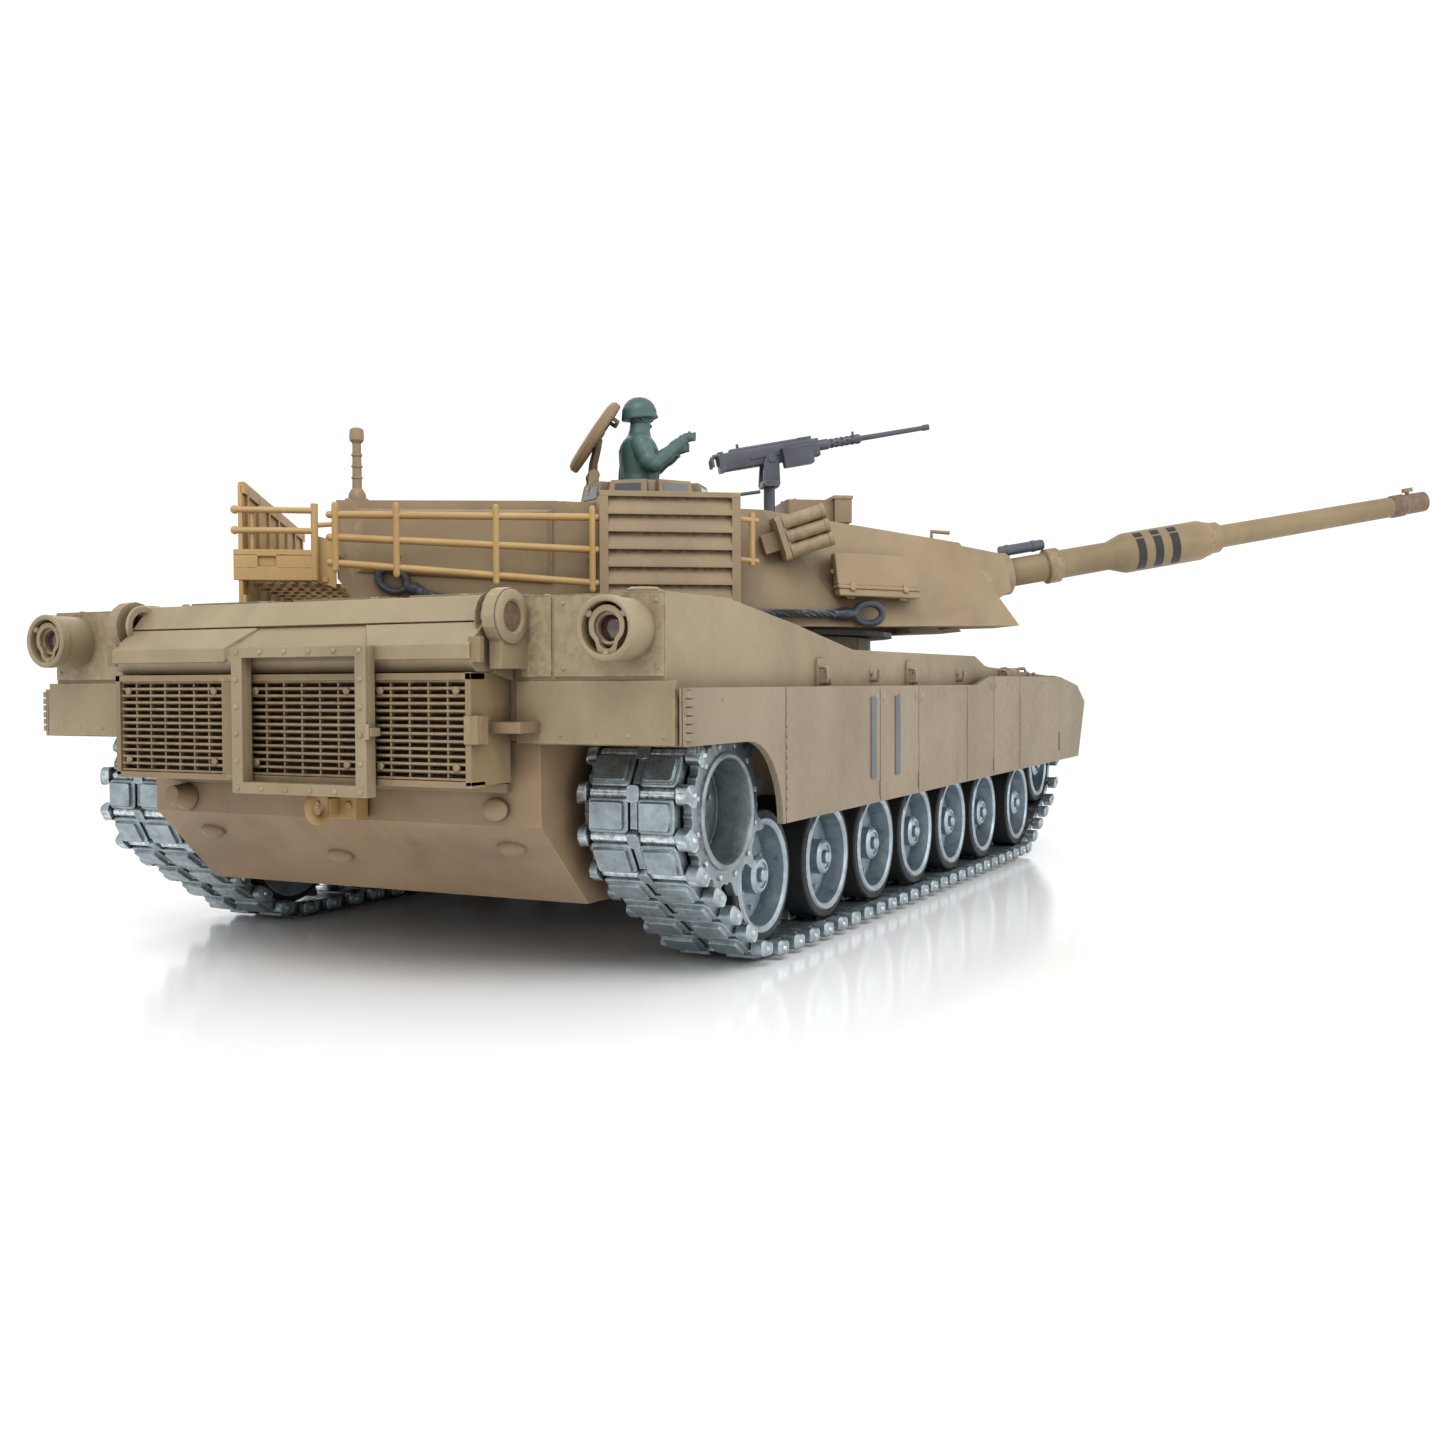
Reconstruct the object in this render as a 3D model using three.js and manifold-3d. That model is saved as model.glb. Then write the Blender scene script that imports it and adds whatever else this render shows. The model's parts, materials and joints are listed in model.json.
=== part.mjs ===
// A 1:16 radio-controlled tank. Millimetres, +X towards the hull's nose, +Y to its left, +Z up.
// The hull is modelled with x = 0 at the rear plate of its sponsons and z = 0 on the ground; the turret is
// modelled with x = 0 at the ring's centre. The last lines put the origin below the middle of the whole.
import * as THREE from "three";
import { ConvexGeometry } from "three/addons/geometries/ConvexGeometry.js";
import { mergeVertices } from "three/addons/utils/BufferGeometryUtils.js";
import Module from "manifold-3d";

const wasm = await Module();
wasm.setup();

// ---- driving dimensions ----------------------------------------------------
const GAP = 0.3; // clearance between neighbouring pieces
const WALL = 2.4; // moulded shell thickness

const HULL = { sponsonY: 108.3, tubY: 69.5, bellyZ: 20.5, rearZ: 103.8, deckZ: 91.7, noseX: 452 };
const SKIRT = { outerY: 114.3, thick: 2.3, rearBottom: 65.5, top: 80.3, frontTop: 83.7, bottom: 41.5 };
const RING = { x: 228, holeR: 62, raceR: 71 };
const REAR = { faceX: -17.5, halfY: 62.5, grilleZ: 55.5, hoodZ: 87 };

const WHEEL = {
  r: 19.5, z: 25, innerY: 78, outerY: 102.5, boreR: 2.7,
  x: [70, 119, 163, 207, 251, 296, 351],
};
const SPROCKET = { x: 38, z: 46.5, teeth: 12, tipR: 24.4, rootR: 20.4, ringY: [[73.2, 76], [103.2, 106]] };
const IDLER = { x: 389, z: 41, r: 18 };
const AXLE_R = 2.1;
const TRACK = { innerY: 76.4, outerY: 102.8, thick: 5.2, play: 0.3 };

const TURRET_YAW = -54; // degrees, the rest pose has the gun swung to the right
const TURRET = { floorZ: 101.6, roofZ: 145, sideY: 92, bustleX: -140 };
const GUN = { trunnion: [80, 0, 118.8], elevation: 9.8, muzzleX: 258 };
const MG = { x: 20, y: -48, baseZ: 144.6, pivotZ: 167.4, elevation: 10.5 };
const CUPOLA = { x: -28, y: -45, r: 25, z: 157 };
const FIGURE_X = -30.5;
const LOADER = { y: 44, r: 18, hingeX: -47 };
const HATCH = { hinge: [-48.3, -45, 160.2], middle: [-47, -45, 175], r: 15.5, lean: 33.7 };

// ---- materials ------------------------------------------------------------
const paint = (color, roughness, metalness) =>
  new THREE.MeshStandardMaterial({ color, roughness, metalness });
const SAND = paint(0xa98f6b, 0.7, 0);
const METAL = paint(0x8f979b, 0.4, 0.9);
const BLACK = paint(0x2b2d30, 0.6, 0);
const FIGURE_GREEN = paint(0x2f4a45, 0.7, 0);
const GOLD_SAND = paint(0xb5914f, 0.6, 0);
const BOARD_GREEN = paint(0x1f5a35, 0.5, 0);

// ---- solids ---------------------------------------------------------------
// A closed three.js geometry as a manifold-3d solid, for joining and cutting.
function solid(geometry) {
  const bare = geometry.index ? geometry.toNonIndexed() : geometry.clone();
  for (const name of Object.keys(bare.attributes)) if (name !== "position") bare.deleteAttribute(name);
  const merged = mergeVertices(bare, 1e-4);
  return new wasm.Manifold(new wasm.Mesh({
    numProp: 3,
    vertProperties: merged.attributes.position.array,
    triVerts: new Uint32Array(merged.index.array),
  }));
}

const join = (...parts) => parts.reduce((all, part) => all.add(part));
const cut = (body, ...tools) => tools.reduce((left, tool) => left.subtract(tool), body);

const box = (x0, x1, y0, y1, z0, z1) =>
  solid(new THREE.BoxGeometry(x1 - x0, y1 - y0, z1 - z0)
    .translate((x0 + x1) / 2, (y0 + y1) / 2, (z0 + z1) / 2));

// A rod of n sides between two points.
function rod(from, to, radius, sides = 8) {
  const a = new THREE.Vector3(...from);
  const b = new THREE.Vector3(...to);
  const axis = b.clone().sub(a).normalize();
  const turn = new THREE.Quaternion().setFromUnitVectors(new THREE.Vector3(0, 1, 0), axis);
  const middle = a.clone().add(b).multiplyScalar(0.5);
  return solid(new THREE.CylinderGeometry(radius, radius, a.distanceTo(b), sides)
    .applyQuaternion(turn).translate(middle.x, middle.y, middle.z));
}

// An outline of [x, z] points drawn out along Y, with optional holes.
function sideways(outline, y0, y1, holes = []) {
  const shape = new THREE.Shape(outline.map(([x, z]) => new THREE.Vector2(x, z)));
  for (const hole of holes) shape.holes.push(new THREE.Path(hole.map(([x, z]) => new THREE.Vector2(x, z))));
  return solid(new THREE.ExtrudeGeometry(shape, { depth: y1 - y0, bevelEnabled: false })
    .rotateX(Math.PI / 2).translate(0, y1, 0));
}

// A profile of [radius, height] points turned about the line parallel to the named axis
// through (x, y, z).
function turned(profile, axis, x, y, z, sides = 16) {
  const g = new THREE.LatheGeometry(profile.map(([r, h]) => new THREE.Vector2(r, h)), sides);
  if (axis === "z") g.rotateX(Math.PI / 2);
  if (axis === "x") g.rotateZ(-Math.PI / 2);
  const made = solid(g.translate(x, y, z));
  if (made.volume() < 0) throw new Error("a turned profile runs the wrong way round");
  return made;
}

const disc = (r, h0, h1) => [[0, h0], [r, h0], [r, h1], [0, h1]];
const hull = (points) => solid(new ConvexGeometry(points.map((p) => new THREE.Vector3(...p))));
const bothSides = (points) => points.flatMap(([x, y, z]) => [[x, y, z], [x, -y, z]]);

function geometryOf(body) {
  const { numProp, numVert, vertProperties, triVerts } = body.getMesh();
  const positions = new Float32Array(numVert * 3);
  for (let i = 0; i < numVert; i++) {
    positions.set(vertProperties.subarray(i * numProp, i * numProp + 3), i * 3);
  }
  const g = new THREE.BufferGeometry().setAttribute("position", new THREE.BufferAttribute(positions, 3));
  return g.setIndex(new THREE.BufferAttribute(triVerts, 1));
}

function piece(group, name, body, material) {
  const mesh = new THREE.Mesh(geometryOf(body), material);
  mesh.name = name;
  group.add(mesh);
}

const tank = new THREE.Group();
const turret = new THREE.Group();
const gun = new THREE.Group();
turret.position.set(RING.x, 0, 0);
turret.rotation.z = THREE.MathUtils.degToRad(TURRET_YAW);
gun.position.set(...GUN.trunnion);
gun.rotation.y = -THREE.MathUtils.degToRad(GUN.elevation);
turret.add(gun);
tank.add(turret);

// ---- hull -----------------------------------------------------------------
function lowerHull() {
  const { tubY, bellyZ, noseX } = HULL;
  const profile = [[2.6, 66], [3, 43.5], [26, bellyZ], [378, bellyZ], [noseX - 3, 60], [noseX - 3, 66]];
  const inner = [[5.2, 70], [5.4, 44.6], [27, bellyZ + WALL], [377, bellyZ + WALL],
    [noseX - 6, 61.5], [noseX - 6, 70]];
  const body = cut(sideways(profile, -tubY, tubY), sideways(inner, WALL - tubY, tubY - WALL),
    box(96, 196, -31, 31, 0, 40), box(228, 242, -6, 6, 0, 40));
  const axles = [];
  for (const side of [-1, 1]) {
    const stub = (x, z, end) => rod([x, side * (tubY - 3), z], [x, side * end, z], AXLE_R);
    for (const x of WHEEL.x) axles.push(stub(x, WHEEL.z, WHEEL.outerY - 2));
    axles.push(stub(SPROCKET.x, SPROCKET.z, 94), stub(IDLER.x, IDLER.z, WHEEL.outerY - 2));
  }
  return join(body, ...axles);
}

function upperHull() {
  const { sponsonY: y, tubY, rearZ, deckZ, noseX } = HULL;
  const deck = [[35, rearZ], [80, 98.3], [126, deckZ], [262, deckZ], [278, 87.5]];
  const top = [[0, 77], [0, rearZ], ...deck, [385, 84], [noseX, 70.5], [noseX, 66.3], [0, 66.3]];
  const inset = deck.map(([x, z]) => [x, z - WALL]);
  const roomTop = [...inset, [385, 81.4], [noseX - 4, 68.5]];
  const bay = [[WALL, 60], [WALL, rearZ - WALL], ...roomTop, [noseX - 4, 60]];
  const sponson = [[WALL, 79.4], [WALL, rearZ - WALL], ...inset, [384, 81.4], [384, 79.4]];
  const fenderFront = [[385, 90], [385, 60], [noseX + 2, 60], [noseX + 2, 90]];
  const openings = [sideways(bay, -tubY + WALL, tubY - WALL), sideways(sponson, -y + WALL, y - WALL)];
  for (const side of [-1, 1]) {
    const [inside, outside] = [side * (tubY + GAP), side * (y + 8)].sort((a, b) => a - b);
    openings.push(box(-1, noseX + 2, inside, outside, 60, 77)); // room for the tracks
    openings.push(sideways(fenderFront, inside, outside));
  }
  const shell = cut(sideways([...top].reverse(), -y, y), ...openings,
    rod([RING.x, 0, 60], [RING.x, 0, 120], RING.holeR, 32));
  const added = [];
  for (const side of [-1, 1]) {
    const span = (a, b) => [side * a, side * b].sort((p, q) => p - q);
    added.push(box(0, WALL, ...span(tubY, 111.4), SKIRT.rearBottom, 78)); // rear mudguard
    const fender = [[380, 79.4], [380, 84.05], [385, 84], [421, 79], [437, 70], [435, 68.5], [419, 76.5]];
    added.push(sideways(fender, ...span(tubY + GAP, 111.6)));
    added.push(sideways([[380, 77], [380, 84], [390, 83.7], [390, 77]], ...span(tubY - 4, 111.6)));
    const lug = cut(
      join(
        rod([-8, side * 64.4, 98.2], [-8, side * 68, 98.2], 7.4, 16),
        box(-12, 1, ...span(64.4, 68), 85, 98),
      ),
      rod([-8, side * 60, 98.2], [-8, side * 72, 98.2], 4, 12));
    added.push(lug);
  }
  const race = cut(turned(disc(RING.raceR, deckZ - 1, 99), "z", RING.x, 0, 0, 32),
    rod([RING.x, 0, 60], [RING.x, 0, 120], RING.holeR, 32));
  return join(shell, race, ...added);
}

function skirt(side) {
  const { outerY, thick, rearBottom, top, frontTop, bottom } = SKIRT;
  const curve = [];
  for (let k = 0; k <= 4; k++) { // the cut-out behind the sprocket
    const turn = (k / 4) * (Math.PI / 2);
    curve.push([36 + 22 * Math.sin(turn), rearBottom - 24 * (1 - Math.cos(turn))]);
  }
  const outline = [[0, rearBottom], ...curve, [424, bottom + 2], [438, 71], [421, 79.5], [385, frontTop],
    [266, frontTop], [248, top], [0, top]];
  const [y0, y1] = [side * (outerY - thick), side * outerY].sort((a, b) => a - b);
  return sideways(outline, y0, y1);
}

function rearGrille() {
  const { faceX, halfY, grilleZ, hoodZ } = REAR;
  const hood = [[-GAP, hoodZ - 4], [-GAP, HULL.rearZ], [-4, HULL.rearZ], [-10, 97.4], [faceX, 91],
    [faceX, hoodZ], [faceX + 3, hoodZ - 4]];
  const grille = [[-GAP, grilleZ], [-GAP, hoodZ], [faceX + 3, hoodZ], [faceX, hoodZ - 4], [faceX, grilleZ]];
  const rows = 7;
  const slots = [];
  for (let row = 0; row < rows; row++) {
    const z = grilleZ + 1.5 + row * 3.7;
    for (const [a, b] of [[-60, -36], [-30, 12], [18, 60]]) {
      slots.push(box(faceX - 1, faceX + 3, a, b, z, z + 2));
    }
  }
  const solids = [hood, grille].map((outline) => sideways([...outline].reverse(), -halfY, halfY));
  return cut(join(...solids), ...slots);
}

const rackFrame = () => {
  const [x0, x1] = [REAR.faceX - 4.6, REAR.faceX - GAP];
  return cut(box(x0, x1, -33, 13.2, 52, 91.3), box(x0 - 1, x1 + 1, -29.2, 9.4, 55, 88.3));
};

function tailLight(side) {
  const profile = [[6.6, 0.5], [8.1, 0.5], [8.1, 12.2], [6.6, 12.2]];
  const tube = turned([...profile, profile[0]], "x", -12.7, side * 98.3, 94.6, 16);
  return join(tube, rod([-3.4, side * 98.3, 94.6], [-0.5, side * 98.3, 94.6], 7.2, 16),
    rod([-9, side * 98.3, 94.6], [-3, side * 98.3, 94.6], 3.6, 8));
}

const pintle = () => cut(
  join(
    box(-3, 2.2, -13, 3, 44, 52),
    box(-13, -2, -7.4, -3.2, 44.6, 51),
    rod([-13, -7.4, 47.6], [-13, -3.2, 47.6], 3.6, 12),
  ),
  rod([-13, -12, 47.6], [-13, 2, 47.6], 1.7, 8));

function headlight(side) {
  const y = side * 82;
  return join(box(413, 419, y - 4, y + 4, 80.8, 83), rod([411.5, y, 84.2], [421, y, 84.2], 3.4, 12));
}

// ---- running gear ---------------------------------------------------------
// The outline around circles [x, z, radius], counter-clockwise, with arcs in steps of at most `step` radians.
function beltOutline(circles, step) {
  const normals = circles.map(([x, z, r], i) => {
    const [nx, nz, nr] = circles[(i + 1) % circles.length];
    const distance = Math.hypot(nx - x, nz - z);
    return Math.atan2(nz - z, nx - x) - Math.acos((r - nr) / distance);
  });
  return circles.flatMap(([x, z, r], i) => {
    const from = normals[(i + circles.length - 1) % circles.length];
    const sweep = THREE.MathUtils.euclideanModulo(normals[i] - from, 2 * Math.PI);
    const steps = Math.ceil(sweep / step);
    return Array.from({ length: steps + 1 }, (_, k) => {
      const a = from + (sweep * k) / steps;
      return [x + r * Math.cos(a), z + r * Math.sin(a)];
    });
  });
}

function track(side) {
  const around = (extra) => [
    [SPROCKET.x, SPROCKET.z, SPROCKET.rootR + TRACK.play + extra],
    [WHEEL.x[0], WHEEL.z, WHEEL.r + TRACK.play + extra],
    [WHEEL.x[6], WHEEL.z, WHEEL.r + TRACK.play + extra],
    [IDLER.x, IDLER.z, IDLER.r + TRACK.play + extra],
  ];
  const [y0, y1] = [side * TRACK.innerY, side * TRACK.outerY].sort((a, b) => a - b);
  return sideways(beltOutline(around(TRACK.thick), 0.3), y0, y1, [beltOutline(around(0), 0.3).reverse()]);
}

// A pair of discs on one hub, with a groove between them for the track's guide horns.
function wheel(x, z, r, side) {
  const { innerY, outerY, boreR } = WHEEL;
  const ring = [[boreR, innerY], [r, innerY], [r, 88], [10, 88], [10, 93], [r, 93], [r, outerY - 2],
    [r - 2.5, outerY], [r - 4, 98], [7, 98], [5, outerY + 1], [boreR, outerY + 1]];
  const profile = side > 0 ? ring : ring.map(([radius, y]) => [radius, -y]).reverse();
  return turned([...profile, profile[0]], "y", x, 0, z, 14);
}

function sprocket(side) {
  const { x, z, teeth, tipR, rootR, ringY } = SPROCKET;
  const outline = [];
  for (let k = 0; k < teeth; k++) {
    for (const [share, r] of [[0.06, rootR], [0.32, rootR], [0.44, tipR], [0.58, tipR], [0.7, rootR]]) {
      const a = ((k + share) / teeth) * 2 * Math.PI;
      outline.push([x + r * Math.cos(a), z + r * Math.sin(a)]);
    }
  }
  const span = (a, b) => [side * a, side * b].sort((p, q) => p - q);
  const rings = ringY.map(([a, b]) => sideways(outline, ...span(a, b)));
  const drum = rod([x, side * 74, z], [x, side * 105.6, z], 17.4, 24);
  return cut(join(drum, ...rings), rod([x, side * 96, z], [x, side * 120, z], 14.2, 20),
    rod([x, side * 60, z], [x, side * 98, z], WHEEL.boreR));
}

// ---- inside the hull --------------------------------------------------------
function gearbox(side) {
  const span = (a, b) => [side * a, side * b].sort((p, q) => p - q);
  return join(box(23, 62, ...span(46, 64), 30, 62), rod([74, side * 20, 46], [74, side * 55, 46], 11, 10),
    box(58, 76, ...span(46, 58), 36, 56));
}

// ---- turret ---------------------------------------------------------------
function turretShell() {
  const { floorZ, roofZ, sideY, bustleX } = TURRET;
  const front = hull(bothSides([[121, 51, floorZ + 2], [45, 86, floorZ], [-12, sideY, floorZ],
    [-62, sideY, floorZ + 2], [97, 48, 136.5], [10, 84, roofZ - 1], [-62, sideY - 1, roofZ]]));
  const bustle = hull(bothSides([[-61, sideY, floorZ + 4], [bustleX + 6, 84, 110], [bustleX, 82, 118],
    [bustleX, 84, roofZ], [-61, sideY - 1, roofZ]]));
  const room = hull(bothSides([[100, 42, floorZ - 3], [40, 80, floorZ - 3], [-60, 86, floorZ - 3],
    [82, 40, 134], [8, 79, roofZ - WALL], [-60, 86, roofZ - WALL]]));
  const bustleRoom = hull(bothSides([[-58, 86, 108], [bustleX + 7, 80, 114], [bustleX + 3, 78, 120],
    [bustleX + 3, 80, roofZ - WALL], [-58, 86, roofZ - WALL]]));
  return cut(join(front, bustle), room, bustleRoom, box(72, 130, -20, 20, 90, 150),
    rod([CUPOLA.x, CUPOLA.y, 130], [CUPOLA.x, CUPOLA.y, 160], 15, 16));
}

const turretRing = () => {
  const section = [[56, 86], [61, 86], [61, 99.3], [80, 99.3], [80, 101.2], [56, 101.2]];
  return turned([...section, section[0]], "z", 0, 0, 0, 32);
};

function louvreBox(side) {
  const [y0, y1] = [side * (TURRET.sideY + GAP), side * 104].sort((a, b) => a - b);
  const slats = [];
  for (let k = 0; k < 6; k++) {
    const z = 109.5 + 6.2 * k;
    slats.push(box(-48.5, -3.7, ...[side * 103, side * 105].sort((a, b) => a - b), z, z + 1.6));
  }
  return cut(box(-50.7, -1.5, y0, y1, 108, 147.3), ...slats);
}

// Three rails on posts outside the turret's wall; the lower two run down towards the front.
function sideRail(side) {
  const posts = [-138.6, -118.7, -85.7, -53];
  const rails = [[137.8, 138.2], [130.3, 127], [121.8, 115.6]];
  const y = side * 102.8;
  const wallY = (x) => side * (TURRET.sideY + 0.5 - (x < -110 ? 8 * ((-110 - x) / 30) : 0));
  const parts = rails.map(([rear, front]) => rod([-140, y, rear], [-51.5, y, front], 1.25, 6));
  for (const x of posts) {
    const low = THREE.MathUtils.mapLinear(x, -140, -51.5, 120.2, 113.8);
    parts.push(box(x - 1, x + 1, y - 1.2, y + 1.2, low, 140.5));
    const [y0, y1] = [wallY(x), y].sort((a, b) => a - b);
    parts.push(box(x - 0.8, x + 0.8, y0, y1, 124, 126));
  }
  return join(...parts);
}

function basket() {
  const [front, back, halfY] = [TURRET.bustleX - GAP, -170, 86];
  const rearPlate = box(back - 2.5, back, -halfY, halfY, 108, 150.5);
  const parts = [cut(rearPlate, box(back - 4, back + 1, -30, 30, 128, 146))];
  for (const side of [-1, 1]) {
    const span = (a, b) => [side * a, side * b].sort((p, q) => p - q);
    parts.push(box(back - 4, front - 6, ...span(halfY - 1.6, halfY), 117, 127.5));
    for (const z of [134, 141]) parts.push(box(back, front - 6, ...span(halfY - 2, halfY), z - 1, z + 1));
    parts.push(box(front - 8, front - 6, ...span(halfY - 2.4, halfY), 117, 143));
    parts.push(box(front - 8, front - 6, ...span(75, halfY), 117, 119));
    parts.push(box(back, front, ...span(75, 78), 117, 119));
  }
  for (let k = 0; k < 4; k++) {
    parts.push(box(back + 2 + 6 * k, back + 4.5 + 6 * k, 5 - halfY, halfY - 5, 117, 118.8));
  }
  return join(...parts);
}

// Two rows of three launcher tubes on a plate, leaning back.
function smokeLauncher(side) {
  const parts = [box(-1.5, 1.5, ...[side * -2.7, side * 8.2].sort((a, b) => a - b), -8, 8)];
  for (const row of [0, 5.4]) {
    for (const z of [-5.1, 0, 5.1]) parts.push(rod([1, side * row, z], [17, side * (row + 1.5), z], 2.6, 8));
  }
  return join(...parts).rotate([0, -18, 0]).translate([15.8, side * 88.8, 132.6]);
}

// How far the sloping cheek stands out from the middle plane at x and height z.
function cheekY(x, z) {
  const low = THREE.MathUtils.mapLinear(x, 45, 121, 86, 51);
  const high = THREE.MathUtils.mapLinear(x, 10, 97, 84, 48);
  const edgeZ = THREE.MathUtils.mapLinear(x, 10, 97, 144, 136.5);
  return THREE.MathUtils.mapLinear(z, TURRET.floorZ, edgeZ, low, high);
}

function cheekBox(side) {
  const points = [];
  for (const x of [39.4, 69]) {
    for (const [z, depth] of [[113, 10.5], [128.5, 9]]) {
      for (const out of [2.4, depth]) points.push([x, side * (cheekY(x, z) + out), z]);
    }
  }
  return hull(points);
}

// A rope along the turret's right side with an eye at each end.
function towCable() {
  const route = [[-116, -88.3, 115], [-108, -90.4, 112], [-90, -92.6, 108.5], [-60, -94.2, 106.2],
    [-12, -94.2, 106],
    [10, -92.2, 106], [42, -88, 106.1]];
  const circle = new THREE.Shape().absarc(0, 0, 1.6, 0, 2 * Math.PI);
  const path = new THREE.CatmullRomCurve3(route.map((p) => new THREE.Vector3(...p)));
  const rope = solid(new THREE.ExtrudeGeometry(circle, { steps: 24, curveSegments: 3, extrudePath: path }));
  const eye = (x, y, z, hole) => cut(
    join(rod([x, y - 1.1, z], [x, y + 1.1, z], 5.4, 12), rod([x, y, z], hole, 1.5, 6)),
    rod([x, y - 3, z], [x, y + 3, z], 2.8, 10));
  return join(rope, eye(-121, -87.6, 117.2, [-113, -89, 114]), eye(49, -87.6, 106.3, [40, -88, 106.2]));
}

const sightHousing = () => join(box(26.6, 47, -50, -22, 144.3, 152.6), box(45, 52, -52, -20, 144.3, 153.7));

function cupola() {
  const section = [[15.2, 145.4], [CUPOLA.r, 145.4], [CUPOLA.r, 150], [20.5, CUPOLA.z], [15.2, CUPOLA.z]];
  return turned([...section, section[0]], "z", CUPOLA.x, CUPOLA.y, 0, 16);
}

function figure() {
  const [x, y] = [FIGURE_X, CUPOLA.y];
  const body = [[0, 130], [8, 130], [8.5, 150], [10, 166], [8, 174], [4, 178], [0, 178]];
  const torso = turned(body, "z", x, y, 0, 12);
  const head = [[0, 177], [4.6, 177], [6.2, 182], [6, 186.5], [3.6, 190], [0, 191]];
  const helmet = turned(head, "z", x, y, 0, 12);
  const arms = [-1, 1].flatMap((side) => [
    rod([x, y + side * 9, 172], [x + 8, y + side * 10, 164.5], 3, 6),
    rod([x + 7, y + side * 10, 165], [x + 21, y + side * 7, 175], 2.4, 6),
  ]);
  return join(torso, helmet, ...arms);
}

// The commander's lid stands open behind the figure, on an arm from its hinge.
function commanderLid() {
  const [x, y, z] = HATCH.hinge;
  const flat = turned(disc(HATCH.r, 0, 3), "z", 0, 0, 0, 18);
  const plate = flat.rotate([0, HATCH.lean - 90, 0]).translate(HATCH.middle);
  return join(plate, rod([x, y - 5, z], [x, y + 5, z], 1.7, 8), rod([x, y, z], HATCH.middle, 1.8, 8));
}

// A round lid, flat on its seat, with a hinge knuckle at its rear edge; local x = 0 at the hinge.
const lid = (r, thick) =>
  join(turned(disc(r, 0, thick), "z", r + 3, 0, 0, 16), box(-1, 6, -5, 5, -0.2, thick + 1));

const mast = () =>
  join(rod([0, 0, 0], [0, 0, 25], 1.4, 8), rod([0, 0, 22], [0, 0, 27], 2.6, 8), box(-4, 4, -4, 4, 0, 5));

// ---- gun: x runs along the bore from the trunnion -------------------------------
function mantlet() {
  const corners = [[2, 19, -12], [2, 19, 17], [38, 17, -12], [23, 17, 17.5], [53, 9, -8], [53, 9, 8]];
  const shield = hull(bothSides(corners));
  return cut(join(shield, rod([8, -19.6, 0], [8, 19.6, 0], 6, 12)), rod([20, 0, 0], [80, 0, 0], 6.8, 16));
}

function barrel() {
  const m = GUN.muzzleX;
  const outside = [[0, 21], [6.1, 21], [6.1, 74], [7.4, 76], [7.4, 80], [6.3, 82], [6.3, 104],
    [8.7, 110], [8.7, 146],
    [6.9, 151], [6.9, 155], [5, 158], [4.5, m - 14], [4.2, m], [2.6, m], [2.6, m - 30], [0, m - 30]];
  return turned(outside, "x", 0, 0, 0, 14);
}

const sightTube = () => rod([54, 1, 9.8], [75, 1, 9.8], 2.3, 10);

// ---- assembly -------------------------------------------------------------
piece(tank, "lower_hull", lowerHull(), SAND);
piece(tank, "upper_hull", upperHull(), SAND);
piece(tank, "rear_grille", rearGrille(), SAND);
piece(tank, "rack_frame", rackFrame(), SAND);
piece(tank, "tow_pintle", cut(pintle(), box(0, 10, -20, 20, 30, 60)), SAND);
const batteryDoor = box(96 + GAP, 196 - GAP, -31 + GAP, 31 - GAP, HULL.bellyZ, HULL.bellyZ + WALL);
piece(tank, "battery_door", batteryDoor, BLACK);
piece(tank, "battery_pack", box(104, 188, -24, 24, 25, 49), BLACK);
piece(tank, "control_board", box(230, 330, -45, 45, 60, 62), BOARD_GREEN);
piece(tank, "power_switch", box(231, 235, -4.5, 4.5, 19.2, 23.4), BLACK);
for (const [word, side] of [["left", 1], ["right", -1]]) {
  piece(tank, `skirt_${word}`, skirt(side), SAND);
  piece(tank, `track_${word}`, track(side), METAL);
  piece(tank, `tail_light_${word}`, tailLight(side), SAND);
  piece(tank, `headlight_${word}`, headlight(side), SAND);
  piece(tank, `gearbox_${word}`, gearbox(side), BLACK);
  piece(tank, `sprocket_${word}`, sprocket(side), METAL);
  piece(tank, `idler_${word}`, wheel(IDLER.x, IDLER.z, IDLER.r, side), METAL);
  WHEEL.x.forEach((x, i) => {
    piece(tank, `road_wheel_${word}_${i + 1}`, wheel(x, WHEEL.z, WHEEL.r, side), METAL);
  });

  piece(turret, `louvre_box_${word}`, louvreBox(side), SAND);
  piece(turret, `side_rail_${word}`, sideRail(side), GOLD_SAND);
  piece(turret, `smoke_launcher_${word}`, smokeLauncher(side), SAND);
  piece(turret, `cheek_box_${word}`, cheekBox(side), SAND);
}

piece(turret, "turret_shell", turretShell(), SAND);
piece(turret, "turret_ring", turretRing(), BLACK);
piece(turret, "bustle_basket", basket(), GOLD_SAND);
piece(turret, "sight_housing", sightHousing(), SAND);
piece(turret, "commander_cupola", cupola(), SAND);
piece(turret, "commander_figure", figure(), FIGURE_GREEN);
piece(turret, "tow_cable", towCable(), BLACK);
piece(turret, "wind_mast", mast().translate([-134, -70, TURRET.roofZ + GAP]), SAND);
piece(turret, "commander_hatch", commanderLid(), SAND);
const loaderLid = lid(LOADER.r, 2.4).translate([LOADER.hingeX, LOADER.y, TURRET.roofZ + 0.6]);
piece(turret, "loader_hatch", loaderLid, SAND);

piece(gun, "mantlet", mantlet(), SAND);
piece(gun, "gun_barrel", barrel(), SAND);
piece(gun, "sight_tube", sightTube(), BLACK);

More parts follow.
